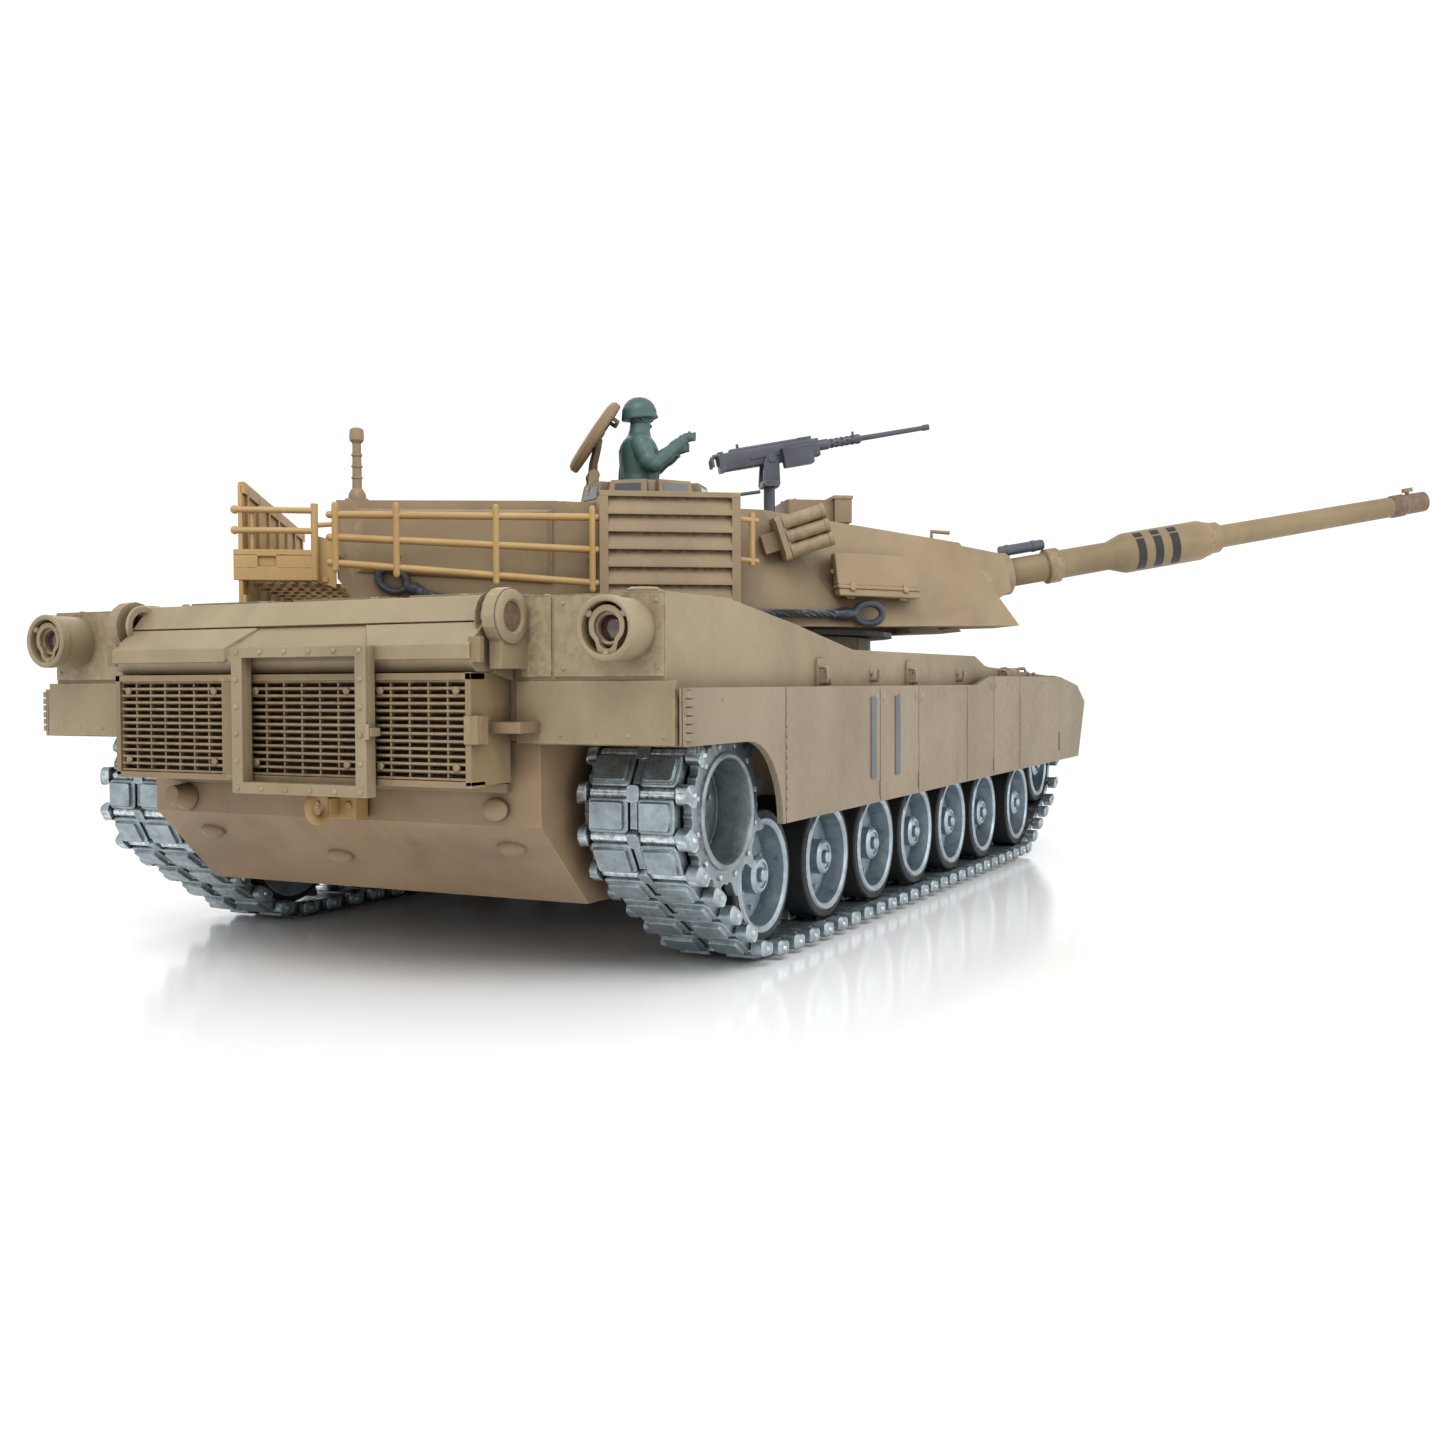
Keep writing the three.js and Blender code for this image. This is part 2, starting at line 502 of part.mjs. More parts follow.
const mgCradle = join(
  rod([0, 0, 0], [0, 0, 14], 2.2),
  box(-3, 3, -5.2, 5.2, 13, 16),
  box(-3, 3, -5.2, -3.6, 13, 24),
  box(-3, 3, 3.6, 5.2, 13, 24),
);
piece(turret, "mg_cradle", mgCradle.translate([MG.x, MG.y, MG.baseZ]), BLACK);
const mgBody = join(box(-20, 24, -2.9, 2.9, -1.5, 6.5), rod([22, 0, 2.6], [36, 0, 2.6], 1.9, 8),
  rod([34, 0, 2.6], [66, 0, 2.6], 1.1, 8), box(-23, -19, -1, 1, 1, 5), box(4, 16, -8.5, -2.5, -4.5, 3));
const mgPose = mgBody.rotate([0, -MG.elevation, 0]).translate([MG.x, MG.y, MG.pivotZ]);
piece(turret, "mg_gun", mgPose, BLACK);

// The origin is on the ground, below the middle of the bounding box.
const bounds = new THREE.Box3().setFromObject(tank, true);
tank.position.set(-(bounds.min.x + bounds.max.x) / 2, -(bounds.min.y + bounds.max.y) / 2, -bounds.min.z);

export default tank;
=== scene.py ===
"""The looks of a 1:16 radio-controlled tank, built round its CAD frame.

Shapes are written in millimetres, in the hull's frame (x = 0 at the rear plate, z = 0 on the ground) or the
turret's, gun's or machine gun's (x = 0 at the ring or pivot). piece() places them in the part's frame, in
metres.
"""
import json
import math

import bmesh
import bpy
from mathutils import Matrix, Vector


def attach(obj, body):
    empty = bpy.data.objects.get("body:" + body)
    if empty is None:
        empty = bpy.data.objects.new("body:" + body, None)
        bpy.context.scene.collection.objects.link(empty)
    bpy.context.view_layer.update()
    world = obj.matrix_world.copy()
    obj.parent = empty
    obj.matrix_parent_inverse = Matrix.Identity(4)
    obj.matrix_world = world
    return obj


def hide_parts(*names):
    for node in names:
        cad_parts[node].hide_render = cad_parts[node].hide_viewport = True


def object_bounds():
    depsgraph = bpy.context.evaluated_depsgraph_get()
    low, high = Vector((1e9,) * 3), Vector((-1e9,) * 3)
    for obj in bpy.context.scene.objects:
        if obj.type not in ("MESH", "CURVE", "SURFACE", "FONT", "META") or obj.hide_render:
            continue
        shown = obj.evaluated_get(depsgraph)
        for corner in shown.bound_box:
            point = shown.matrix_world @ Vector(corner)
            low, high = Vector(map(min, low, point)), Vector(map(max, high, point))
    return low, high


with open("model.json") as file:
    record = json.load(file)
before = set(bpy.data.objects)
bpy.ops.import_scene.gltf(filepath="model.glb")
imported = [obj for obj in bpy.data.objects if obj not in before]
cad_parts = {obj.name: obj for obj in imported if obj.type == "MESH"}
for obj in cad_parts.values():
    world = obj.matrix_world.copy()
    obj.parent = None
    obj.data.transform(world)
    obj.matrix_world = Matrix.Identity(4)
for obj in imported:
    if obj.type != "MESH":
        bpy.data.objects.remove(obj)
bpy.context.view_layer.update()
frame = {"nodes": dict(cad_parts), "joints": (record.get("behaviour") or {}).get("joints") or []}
JOINTS = {j["name"]: j for j in frame["joints"]}
MM = 0.001
SIDES = (("left", 1), ("right", -1))

# ---- the three frames, from the joints ---------------------------------------
RING_X, RING_Z = 228, 100
TRUNNION, GUN_RAISED = (80, 0, 118.8), 9.8
MG_PIVOT, MG_RAISED = (20, -48, 167.4), 10.5
ring = Vector(JOINTS["turret_traverse"]["pos_m"])
axis = JOINTS["gun_elevation"]["axis"]
HULL = Matrix.Translation(ring - Vector((RING_X, 0, RING_Z)) * MM) @ Matrix.Scale(MM, 4)
YAW = math.atan2(axis[0], -axis[1])
TURRET = HULL @ Matrix.Translation((RING_X, 0, 0)) @ Matrix.Rotation(YAW, 4, "Z")
GUN = TURRET @ Matrix.Translation(TRUNNION) @ Matrix.Rotation(math.radians(-GUN_RAISED), 4, "Y")
MGUN = TURRET @ Matrix.Translation(MG_PIVOT) @ Matrix.Rotation(math.radians(-MG_RAISED), 4, "Y")


# ---- shapes --------------------------------------------------------------------
class Shape:
    """Closed shells in one mesh."""

    def __init__(self):
        self.verts, self.faces, self.mats = [], [], []

    def add(self, verts, faces, mat=0, at=None):
        base = len(self.verts)
        m = at or Matrix.Identity(4)
        self.verts += [m @ Vector(v) for v in verts]
        self.faces += [[i + base for i in f] for f in faces]
        self.mats += [mat] * len(faces)
        return self

    def box(self, x0, x1, y0, y1, z0, z1, mat=0, at=None):
        (x0, x1), (y0, y1), (z0, z1) = sorted((x0, x1)), sorted((y0, y1)), sorted((z0, z1))
        v = [(x, y, z) for z in (z0, z1) for x, y in ((x0, y0), (x1, y0), (x1, y1), (x0, y1))]
        f = [(3, 2, 1, 0), (4, 5, 6, 7), (0, 1, 5, 4), (1, 2, 6, 5), (2, 3, 7, 6), (3, 0, 4, 7)]
        return self.add(v, f, mat, at)

    def loft(self, rings, mat=0, at=None, closed=False, caps=True):
        """Rings of equal length joined in order; they run so that faces look outwards."""
        n = len(rings[0])
        verts = [p for r in rings for p in r]
        faces = []
        pairs = [(i, i + 1) for i in range(len(rings) - 1)]
        if closed:
            pairs.append((len(rings) - 1, 0))
        for a, b in pairs:
            for i in range(n):
                j = (i + 1) % n
                faces.append((a * n + i, a * n + j, b * n + j, b * n + i))
        if caps and not closed:
            faces.append(tuple(reversed(range(n))))
            faces.append(tuple(range((len(rings) - 1) * n, len(rings) * n)))
        return self.add(verts, faces, mat, at)

    def prism(self, outline, y0, y1, mat=0, at=None):
        """An outline of (x, z) drawn out along Y."""
        y0, y1 = sorted((y0, y1))
        return self.loft([[(x, y0, z) for x, z in outline], [(x, y1, z) for x, z in outline]], mat, at)

    def rod(self, a, b, r0, r1=None, n=16, mat=0, at=None):
        a, b = Vector(a), Vector(b)
        r1 = r0 if r1 is None else r1
        q = (b - a).to_track_quat("Z", "Y")
        turn = [(math.cos(2 * math.pi * k / n), math.sin(2 * math.pi * k / n)) for k in range(n)]
        rings = [[c + q @ Vector((r * x, r * y, 0)) for x, y in turn] for c, r in ((a, r0), (b, r1))]
        return self.loft(rings, mat, at)

    def tube(self, path, r, n=10, mat=0, at=None, closed=False):
        pts = [Vector(p) for p in path]
        rings, up, m = [], None, len(pts)
        for i, p in enumerate(pts):
            if closed:
                d = (pts[(i + 1) % m] - pts[i - 1]).normalized()
            else:
                d = (pts[min(i + 1, m - 1)] - pts[max(i - 1, 0)]).normalized()
            if up is None:
                up = d.orthogonal().normalized()
            up = (up - d * up.dot(d)).normalized()
            side = d.cross(up)
            rr = r[i] if isinstance(r, (list, tuple)) else r
            rings.append([p + (up * math.cos(t) + side * math.sin(t)) * rr
                          for t in (2 * math.pi * k / n for k in range(n))])
        return self.loft(rings, mat, at, closed=closed)

    def lathe(self, profile, at=None, n=32, mat=0):
        """A closed profile of (radius, height) turned about Z; radius 0 is allowed at its ends."""
        rings = [[(r * math.cos(t), r * math.sin(t), h) for t in (2 * math.pi * k / n for k in range(n))]
                 for r, h in ((max(r, 1e-3), h) for r, h in profile)]
        hollow = profile[0][0] > 0.01 and profile[-1][0] > 0.01
        return self.loft(rings, mat, at, closed=hollow)

    def ball(self, c, r, n=14, mat=0, at=None, squash=(1, 1, 1)):
        prof = [(math.sin(math.pi * k / n), -math.cos(math.pi * k / n)) for k in range(n + 1)]
        m = Matrix.Translation(c) @ Matrix.Diagonal((r * squash[0], r * squash[1], r * squash[2], 1))
        return self.lathe(prof, at=(at or Matrix.Identity(4)) @ m, n=2 * n, mat=mat)

    def convex(self, points, mat=0, at=None):
        bm = bmesh.new()
        for p in points:
            bm.verts.new(p)
        out = bmesh.ops.convex_hull(bm, input=bm.verts)
        loose = [g for g in out["geom_interior"] + out["geom_unused"] if isinstance(g, bmesh.types.BMVert)]
        bmesh.ops.delete(bm, geom=loose, context="VERTS")
        bmesh.ops.dissolve_limit(bm, angle_limit=0.02, verts=bm.verts, edges=bm.edges)
        bm.verts.index_update()
        self.add([v.co.copy() for v in bm.verts], [[v.index for v in f.verts] for f in bm.faces], mat, at)
        bm.free()
        return self

    def rivet(self, p, normal, r=0.8, h=0.5, n=8, mat=0):
        q = Vector(normal).to_track_quat("Z", "Y").to_matrix().to_4x4()
        return self.lathe([(0, -0.3), (r, -0.3), (r, h * 0.4), (r * 0.6, h), (0, h)],
                          at=Matrix.Translation(p) @ q, n=n, mat=mat)


def along(axis_name, x, y, z):
    """A matrix that turns a shape's Z to the hull's X or Y and moves it."""
    turn = {"x": Matrix.Rotation(math.pi / 2, 4, "Y"), "y": Matrix.Rotation(-math.pi / 2, 4, "X")}
    return Matrix.Translation((x, y, z)) @ turn.get(axis_name, Matrix.Identity(4))


def facing(sign, x, y, z):
    """Turns a shape's Z to the hull's +Y or, with a negative sign, to its -Y."""
    at = along("y", x, y, z)
    return at if sign > 0 else at @ Matrix.Rotation(math.pi, 4, "X")


def rounded(x0, x1, z0, z1, r, n=4):
    """A rectangle with round corners, anticlockwise."""
    out = []
    for cx, cz, a in ((x1 - r, z0 + r, -90), (x1 - r, z1 - r, 0), (x0 + r, z1 - r, 90),
                      (x0 + r, z0 + r, 180)):
        for k in range(n + 1):
            t = math.radians(a + 90 * k / n)
            out.append((cx + r * math.cos(t), cz + r * math.sin(t)))
    return out


def finish_mesh(obj, bevel, segments, angle, smooth=35):
    bm = bmesh.new()
    bm.from_mesh(obj.data)
    bmesh.ops.recalc_face_normals(bm, faces=bm.faces)
    bm.to_mesh(obj.data)
    bm.free()
    if bevel:
        mod = obj.modifiers.new("edges", "BEVEL")
        mod.width = bevel * MM
        mod.segments = segments
        mod.limit_method = "ANGLE"
        mod.angle_limit = math.radians(angle)
        mod.harden_normals = True
        mod.use_clamp_overlap = True
    obj.data.shade_smooth()
    obj.data.set_sharp_from_angle(angle=math.radians(smooth))


def piece(name, shape, body, slot, mats, at=None, bevel=0.25, segments=2, angle=30, replaces=(), smooth=35):
    mesh = bpy.data.meshes.new(name)
    m = HULL if at is None else at
    mesh.from_pydata([m @ v for v in shape.verts], [], shape.faces)
    mats = mats if isinstance(mats, (list, tuple)) else [mats]
    for mat in mats:
        mesh.materials.append(mat)
    mesh.polygons.foreach_set("material_index", shape.mats)
    mesh.update()
    obj = bpy.data.objects.new(name, mesh)
    bpy.context.scene.collection.objects.link(obj)
    finish_mesh(obj, bevel, segments, angle, smooth)
    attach(obj, body)
    if replaces:
        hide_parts(*replaces)
    return obj


# ---- materials -------------------------------------------------------------------
def linear(rgb):
    return tuple((c / 255 / 12.92) if c <= 10 else ((c / 255 + 0.055) / 1.055) ** 2.4 for c in rgb) + (1,)


class Nodes:
    def __init__(self, name):
        self.mat = bpy.data.materials.new(name)
        self.mat.use_nodes = True
        self.tree = self.mat.node_tree
        self.bsdf = self.tree.nodes["Principled BSDF"]
        self.coords = self.tree.nodes.new("ShaderNodeTexCoord").outputs["Object"]

    def put(self, kind, **settings):
        node = self.tree.nodes.new(kind)
        for key, value in settings.items():
            setattr(node, key, value)
        return node

    def link(self, a, b):
        self.tree.links.new(a, b)

    def noise(self, scale, detail=4, rough=0.55, distort=0.0, stretch=None):
        tex = self.put("ShaderNodeTexNoise")
        tex.inputs["Scale"].default_value = scale
        tex.inputs["Detail"].default_value = detail
        tex.inputs["Roughness"].default_value = rough
        tex.inputs["Distortion"].default_value = distort
        source = self.coords
        if stretch:
            mapping = self.put("ShaderNodeMapping")
            mapping.inputs["Scale"].default_value = stretch
            self.link(self.coords, mapping.inputs["Vector"])
            source = mapping.outputs["Vector"]
        self.link(source, tex.inputs["Vector"])
        return tex.outputs["Fac"]

    def ramp(self, fac, stops):
        node = self.put("ShaderNodeValToRGB")
        while len(node.color_ramp.elements) < len(stops):
            node.color_ramp.elements.new(0.5)
        for element, (pos, colour) in zip(node.color_ramp.elements, stops):
            element.position = pos
            element.color = colour if isinstance(colour, tuple) else (colour, colour, colour, 1)
        self.link(fac, node.inputs["Fac"])
        return node.outputs["Color"]

    def mix(self, fac, a, b, mode="MIX"):
        node = self.put("ShaderNodeMix", data_type="RGBA", blend_type=mode)
        for value, socket in ((fac, node.inputs["Factor"]), (a, node.inputs[6]), (b, node.inputs[7])):
            if hasattr(value, "links"):
                self.link(value, socket)
            else:
                socket.default_value = value
        return node.outputs[2]

    def math(self, kind, a, b):
        node = self.put("ShaderNodeMath", operation=kind)
        node.use_clamp = True
        for value, socket in ((a, node.inputs[0]), (b, node.inputs[1])):
            if hasattr(value, "links"):
                self.link(value, socket)
            else:
                socket.default_value = value
        return node.outputs[0]

    def recess(self, distance, inside=False):
        """1 in the open, less in corners and gaps."""
        node = self.put("ShaderNodeAmbientOcclusion", samples=6, inside=inside)
        node.inputs["Distance"].default_value = distance * MM
        return node.outputs["AO"]

    def bump(self, height, strength, distance):
        node = self.put("ShaderNodeBump")
        node.inputs["Strength"].default_value = strength
        node.inputs["Distance"].default_value = distance * MM
        self.link(height, node.inputs["Height"])
        self.link(node.outputs["Normal"], self.bsdf.inputs["Normal"])


def painted(name, base, dark, pale, rough=0.55, wash_and_shade=0.75, reach=7, grime=0.35, edge=0.8):
    """Matt spray paint: cloudy tone, painted shade in the recesses tinted like a brown wash, dust and
    rubbed edges.
    """
    n = Nodes(name)
    base, dark, pale = linear(base), linear(dark), linear(pale)
    cloud = n.ramp(n.noise(26, 5, 0.6), [(0.36, 0.0), (0.68, 1.0)])
    colour = n.mix(n.math("MULTIPLY", cloud, 0.45), base, pale)
    patches = n.ramp(n.noise(14, 4, 0.65, 0.6), [(0.5, 0.0), (0.78, 1.0)])
    colour = n.mix(n.math("MULTIPLY", patches, grime), colour, dark)
    streak = n.ramp(n.noise(60, 4, 0.6, stretch=(1, 1, 0.12)), [(0.52, 0.0), (0.75, 1.0)])
    colour = n.mix(n.math("MULTIPLY", streak, 0.16), colour, dark)
    # painted shade: the ambient-occlusion mask darkens recesses and gaps towards the brown wash colour,
    # broken up by noise
    open_air = n.recess(reach)
    shade = n.ramp(open_air, [(0.25, 1.0), (0.92, 0.0)])
    broken = n.math("MULTIPLY", shade, n.ramp(n.noise(120, 3), [(0.2, 0.55), (0.7, 1.0)]))
    colour = n.mix(n.math("MULTIPLY", broken, wash_and_shade), colour, dark)
    rub = n.ramp(n.recess(edge, inside=True), [(0.35, 1.0), (0.8, 0.0)])
    chips = n.math("MULTIPLY", rub, n.ramp(n.noise(420, 3), [(0.42, 0.0), (0.6, 1.0)]))
    colour = n.mix(n.math("MULTIPLY", chips, 0.55), colour, pale)
    n.link(colour, n.bsdf.inputs["Base Color"])
    n.link(n.ramp(n.noise(300, 3), [(0.3, rough - 0.06), (0.7, rough + 0.1)]), n.bsdf.inputs["Roughness"])
    n.bump(n.noise(2600, 3, 0.7), 0.16, 0.12)
    return n.mat


def metal(name, base, dark, bright, rough=0.42, metallic=0.85, reach=4, bump=0.5, grain=1500):
    """Cast or turned metal with painted shade in its recesses and bright rubbed edges."""
    n = Nodes(name)
    base, dark, bright = linear(base), linear(dark), linear(bright)
    cloud = n.ramp(n.noise(170, 6, 0.7), [(0.32, 0.0), (0.68, 1.0)])
    colour = n.mix(n.math("MULTIPLY", cloud, 0.5), base, dark)
    # painted shade: the ambient-occlusion mask darkens recesses towards the dark colour
    shade = n.ramp(n.recess(reach), [(0.2, 1.0), (0.85, 0.0)])
    colour = n.mix(n.math("MULTIPLY", shade, 0.85), colour, dark)
    rub = n.ramp(n.recess(0.9, inside=True), [(0.3, 1.0), (0.75, 0.0)])
    worn = n.math("MULTIPLY", rub, n.ramp(n.noise(700, 3), [(0.35, 0.2), (0.6, 1.0)]))
    colour = n.mix(n.math("MULTIPLY", worn, 0.85), colour, bright)
    n.link(colour, n.bsdf.inputs["Base Color"])
    n.bsdf.inputs["Metallic"].default_value = metallic
    n.link(n.ramp(n.noise(500, 4), [(0.3, rough - 0.08), (0.7, rough + 0.16)]), n.bsdf.inputs["Roughness"])
    n.bump(n.noise(grain, 5, 0.7), bump, 0.25)
    return n.mat


def moulded(name, base, tint, rough=0.5, grain=1800, coat=0.0, metallic=0.0):
    """Moulded plastic or rubber."""
    n = Nodes(name)
    colour = n.mix(n.ramp(n.noise(90, 5, 0.6), [(0.35, 0.0), (0.7, 1.0)]), linear(base), linear(tint))
    rub = n.ramp(n.recess(0.25, inside=True), [(0.3, 1.0), (0.75, 0.0)])
    colour = n.mix(n.math("MULTIPLY", rub, 0.3), colour, linear(tuple(min(255, c + 60) for c in tint)))
    n.link(colour, n.bsdf.inputs["Base Color"])
    n.bsdf.inputs["Coat Weight"].default_value = coat
    n.bsdf.inputs["Metallic"].default_value = metallic
    n.link(n.ramp(n.noise(400, 3), [(0.3, rough - 0.08), (0.7, rough + 0.1)]), n.bsdf.inputs["Roughness"])
    n.bump(n.noise(grain, 3), 0.2, 0.15)
    return n.mat


SAND = painted("sand_paint", (131, 116, 89), (74, 52, 36), (157, 142, 114))
SAND_SIDE = painted("side_sand", (128, 114, 92), (74, 54, 38), (150, 136, 114))
SAND_TURRET = painted("turret_sand", (128, 109, 82), (72, 52, 34), (152, 134, 104))
SAND_LOW = painted("lower_sand", (136, 112, 84), (70, 52, 38), (162, 140, 110), grime=0.5)
SAND_BROWN = painted("grille_sand", (116, 97, 69), (48, 36, 26), (150, 130, 97), wash_and_shade=0.95, reach=5)
RAIL = painted("rail_sand", (160, 128, 78), (96, 66, 36), (186, 158, 108), reach=4, edge=0.3)
BARREL = painted("barrel_sand", (124, 106, 76), (62, 40, 30), (146, 128, 96), wash_and_shade=0.95, reach=5, edge=0.3)
TRACK = metal("track_cast", (164, 177, 182), (38, 44, 48), (228, 236, 238), rough=0.3)
SPROCKET = metal("sprocket_cast", (150, 160, 164), (48, 54, 57), (214, 222, 224), rough=0.36)
WHEEL = metal("wheel_cast", (170, 184, 192), (66, 74, 80), (228, 236, 240), rough=0.34, bump=0.25)
TYRE = moulded("tyre_rubber", (22, 23, 24), (38, 39, 40), rough=0.62)
SLATE = moulded("slate_grey", (58, 60, 68), (74, 77, 87), rough=0.42, grain=2400)
BLACK = moulded("black_plastic", (11, 13, 14), (20, 22, 24), rough=0.45)
CABLE = moulded("cable_black", (30, 38, 44), (48, 58, 66), rough=0.36, grain=900)
GREEN = moulded("figure_green", (50, 76, 74), (64, 92, 90), rough=0.5, grain=2200)
LENS = moulded("dark_lens", (64, 34, 30), (40, 22, 22), rough=0.14, coat=0.8)
GLASS = moulded("dark_glass", (20, 28, 34), (34, 44, 52), rough=0.1, coat=1.0)
GREY_PAINT = moulded("grey_marking", (84, 90, 95), (96, 102, 106), rough=0.6)
WRAP = moulded("battery_wrap", (24, 48, 110), (34, 62, 130), rough=0.25, coat=0.4)
BOARD = moulded("board_green", (16, 84, 44), (26, 100, 58), rough=0.35)
# dark sand; in the lug eyes and the skirt slot it is painted shade
DARK_SAND = painted("recess_sand", (86, 66, 52), (38, 28, 24), (120, 96, 76), wash_and_shade=0.9)

# ---- running gear ----------------------------------------------------------------
WHEEL_X = (70, 119, 163, 207, 251, 296, 351)
WHEEL_R, WHEEL_Z = 19.5, 25
SPROCKET_AT, SPROCKET_R = (38, 46.5), 20.4
IDLER_AT, IDLER_R = (389, 41), 18
LINK_PITCH = 11.7
PIN_OUT = 1.95  # how far the links' pins stand off the wheels


def belt(circles):
    """Points along the line round circles (x, z, r), anticlockwise from the first, as (x, z, direction)."""
    n = len(circles)
    normals = []
    for i, (x, z, r) in enumerate(circles):
        nx, nz, nr = circles[(i + 1) % n]
        normals.append(math.atan2(nz - z, nx - x) - math.acos((r - nr) / math.hypot(nx - x, nz - z)))
    parts, total = [], 0.0
    for i, (x, z, r) in enumerate(circles):
        start = normals[i - 1]
        sweep = (normals[i] - start) % (2 * math.pi)
        parts.append(("arc", total, r * sweep, (x, z, r, start)))
        total += r * sweep
        nx, nz, nr = circles[(i + 1) % n]
        a = normals[i]
        p = (x + r * math.cos(a), z + r * math.sin(a))
        q = (nx + nr * math.cos(a), nz + nr * math.sin(a))
        length = math.dist(p, q)
        parts.append(("line", total, length, (p, q, a)))
        total += length

    def at(s):
        s %= total
        for kind, begin, length, data in parts:
            if s <= begin + length:
                if kind == "arc":
                    x, z, r, start = data
                    a = start + (s - begin) / r
                    return x + r * math.cos(a), z + r * math.sin(a), a
                p, q, a = data
                t = (s - begin) / length
                return p[0] + (q[0] - p[0]) * t, p[1] + (q[1] - p[1]) * t, a
        return at(0)
    return total, at


def link_shape(shape, m, pitch):
    """One track link. x runs along the track from pin to pin, z outwards, y across (outer side +)."""
    half = pitch / 2
    for y0, y1 in ((76.6, 88.9), (91.7, 102.7)):
        pad = rounded(-half + 1.15, half - 1.15, 0, y1 - y0, 0.9, 2)
        low = [(x, y0 + y, -1.5) for x, y in pad]
        mid = [(x, y0 + y, 1.9) for x, y in pad]
        rim = [(x * 0.93, y0 + 0.5 + y * (1 - 1.0 / (y1 - y0)), 2.3) for x, y in pad]
        face = rounded(-half + 2.0, half - 2.0, 0.9, y1 - y0 - 0.9, 0.8, 2)
        top0 = [(x, y0 + y, 2.3) for x, y in face]
        top1 = [(x * 0.95, y0 + 0.3 + y * (1 - 0.6 / (y1 - y0)), 3.45) for x, y in face]
        shape.loft([low, mid, rim, top0, top1], at=m)
        for x in (-half + 0.15, half - 0.15):
            shape.rod((x, y0 + 0.3, 0), (x, y1 - 0.3, 0), 1.45, n=8, at=m)
    # the middle connector and the guide horn
    shape.loft([[(x, y, z) for x, y in rounded(-half - 2.4, -half + 2.4, 88.4, 92.2, 1, 2)]
                for z in (-1.3, 2.0)], at=m)
    shape.loft([[(x * k, 90.3 + y * k, z) for x, y in rounded(-3, 3, -2.0, 2.0, 0.8, 2)]
                for z, k in ((-1.4, 1), (-3.6, 0.85), (-5.6, 0.5))][::-1], at=m)
    shape.box(-half + 2.2, half - 2.2, 89.2, 91.4, -1.4, 1.4, at=m)
    # the end connectors, with their bolts
    for inner, outer in ((103.1, 107.4), (76.3, 73.0)):
        sign = 1 if outer > inner else -1
        block = rounded(-half - 2.75, -half + 2.75, -2.3, 2.3, 1.5, 3)
        rings = [[(x * k, y, z * k) for x, z in block]
                 for y, k in ((inner, 1), (outer - sign * 0.8, 1), (outer, 0.8))]
        shape.loft(rings, at=m)
        shape.rod((-half, outer - sign * 0.3, 0), (-half, outer + sign * 0.55, 0), 1.0, 0.8, n=6, at=m)


def track_piece(word, side):
    circles = [(*SPROCKET_AT, SPROCKET_R + PIN_OUT), (WHEEL_X[0], WHEEL_Z, WHEEL_R + PIN_OUT),
               (WHEEL_X[-1], WHEEL_Z, WHEEL_R + PIN_OUT), (*IDLER_AT, IDLER_R + PIN_OUT)]
    total, at = belt(circles)
    count = round(total / LINK_PITCH)
    pitch = total / count
    # a sprocket tooth stands half a pitch from each pin: start where the first arc passes angle pi
    r = circles[0][2]
    start = r * ((math.pi - belt_start(circles)) % (2 * math.pi))
    shape = Shape()
    for k in range(count):
        a = start + k * pitch
        x0, z0, _ = at(a - pitch / 2)
        x1, z1, _ = at(a + pitch / 2)
        _, _, normal = at(a)
        cx, cz = (x0 + x1) / 2, (z0 + z1) / 2
        along_x = Vector((x1 - x0, 0, z1 - z0)).normalized()
        out = Vector((math.cos(normal), 0, math.sin(normal)))
        out = (out - along_x * out.dot(along_x)).normalized()
        m = Matrix.Identity(4)
        m.col[0][:3] = along_x
        m.col[1][:3] = (0, side, 0)
        m.col[2][:3] = out
        m.col[3][:3] = (cx, 0, cz)
        link_shape(shape, m, math.dist((x0, z0), (x1, z1)))
    return piece(f"track_links_{word}", shape, "hull", "track_metal", TRACK, bevel=0.22, segments=1,
                 replaces=[f"track_{word}"])


def belt_start(circles):
    (x, z, r), (px, pz, pr) = circles[0], circles[-1]
    return math.atan2(z - pz, x - px) - math.acos((pr - r) / math.hypot(x - px, z - pz))


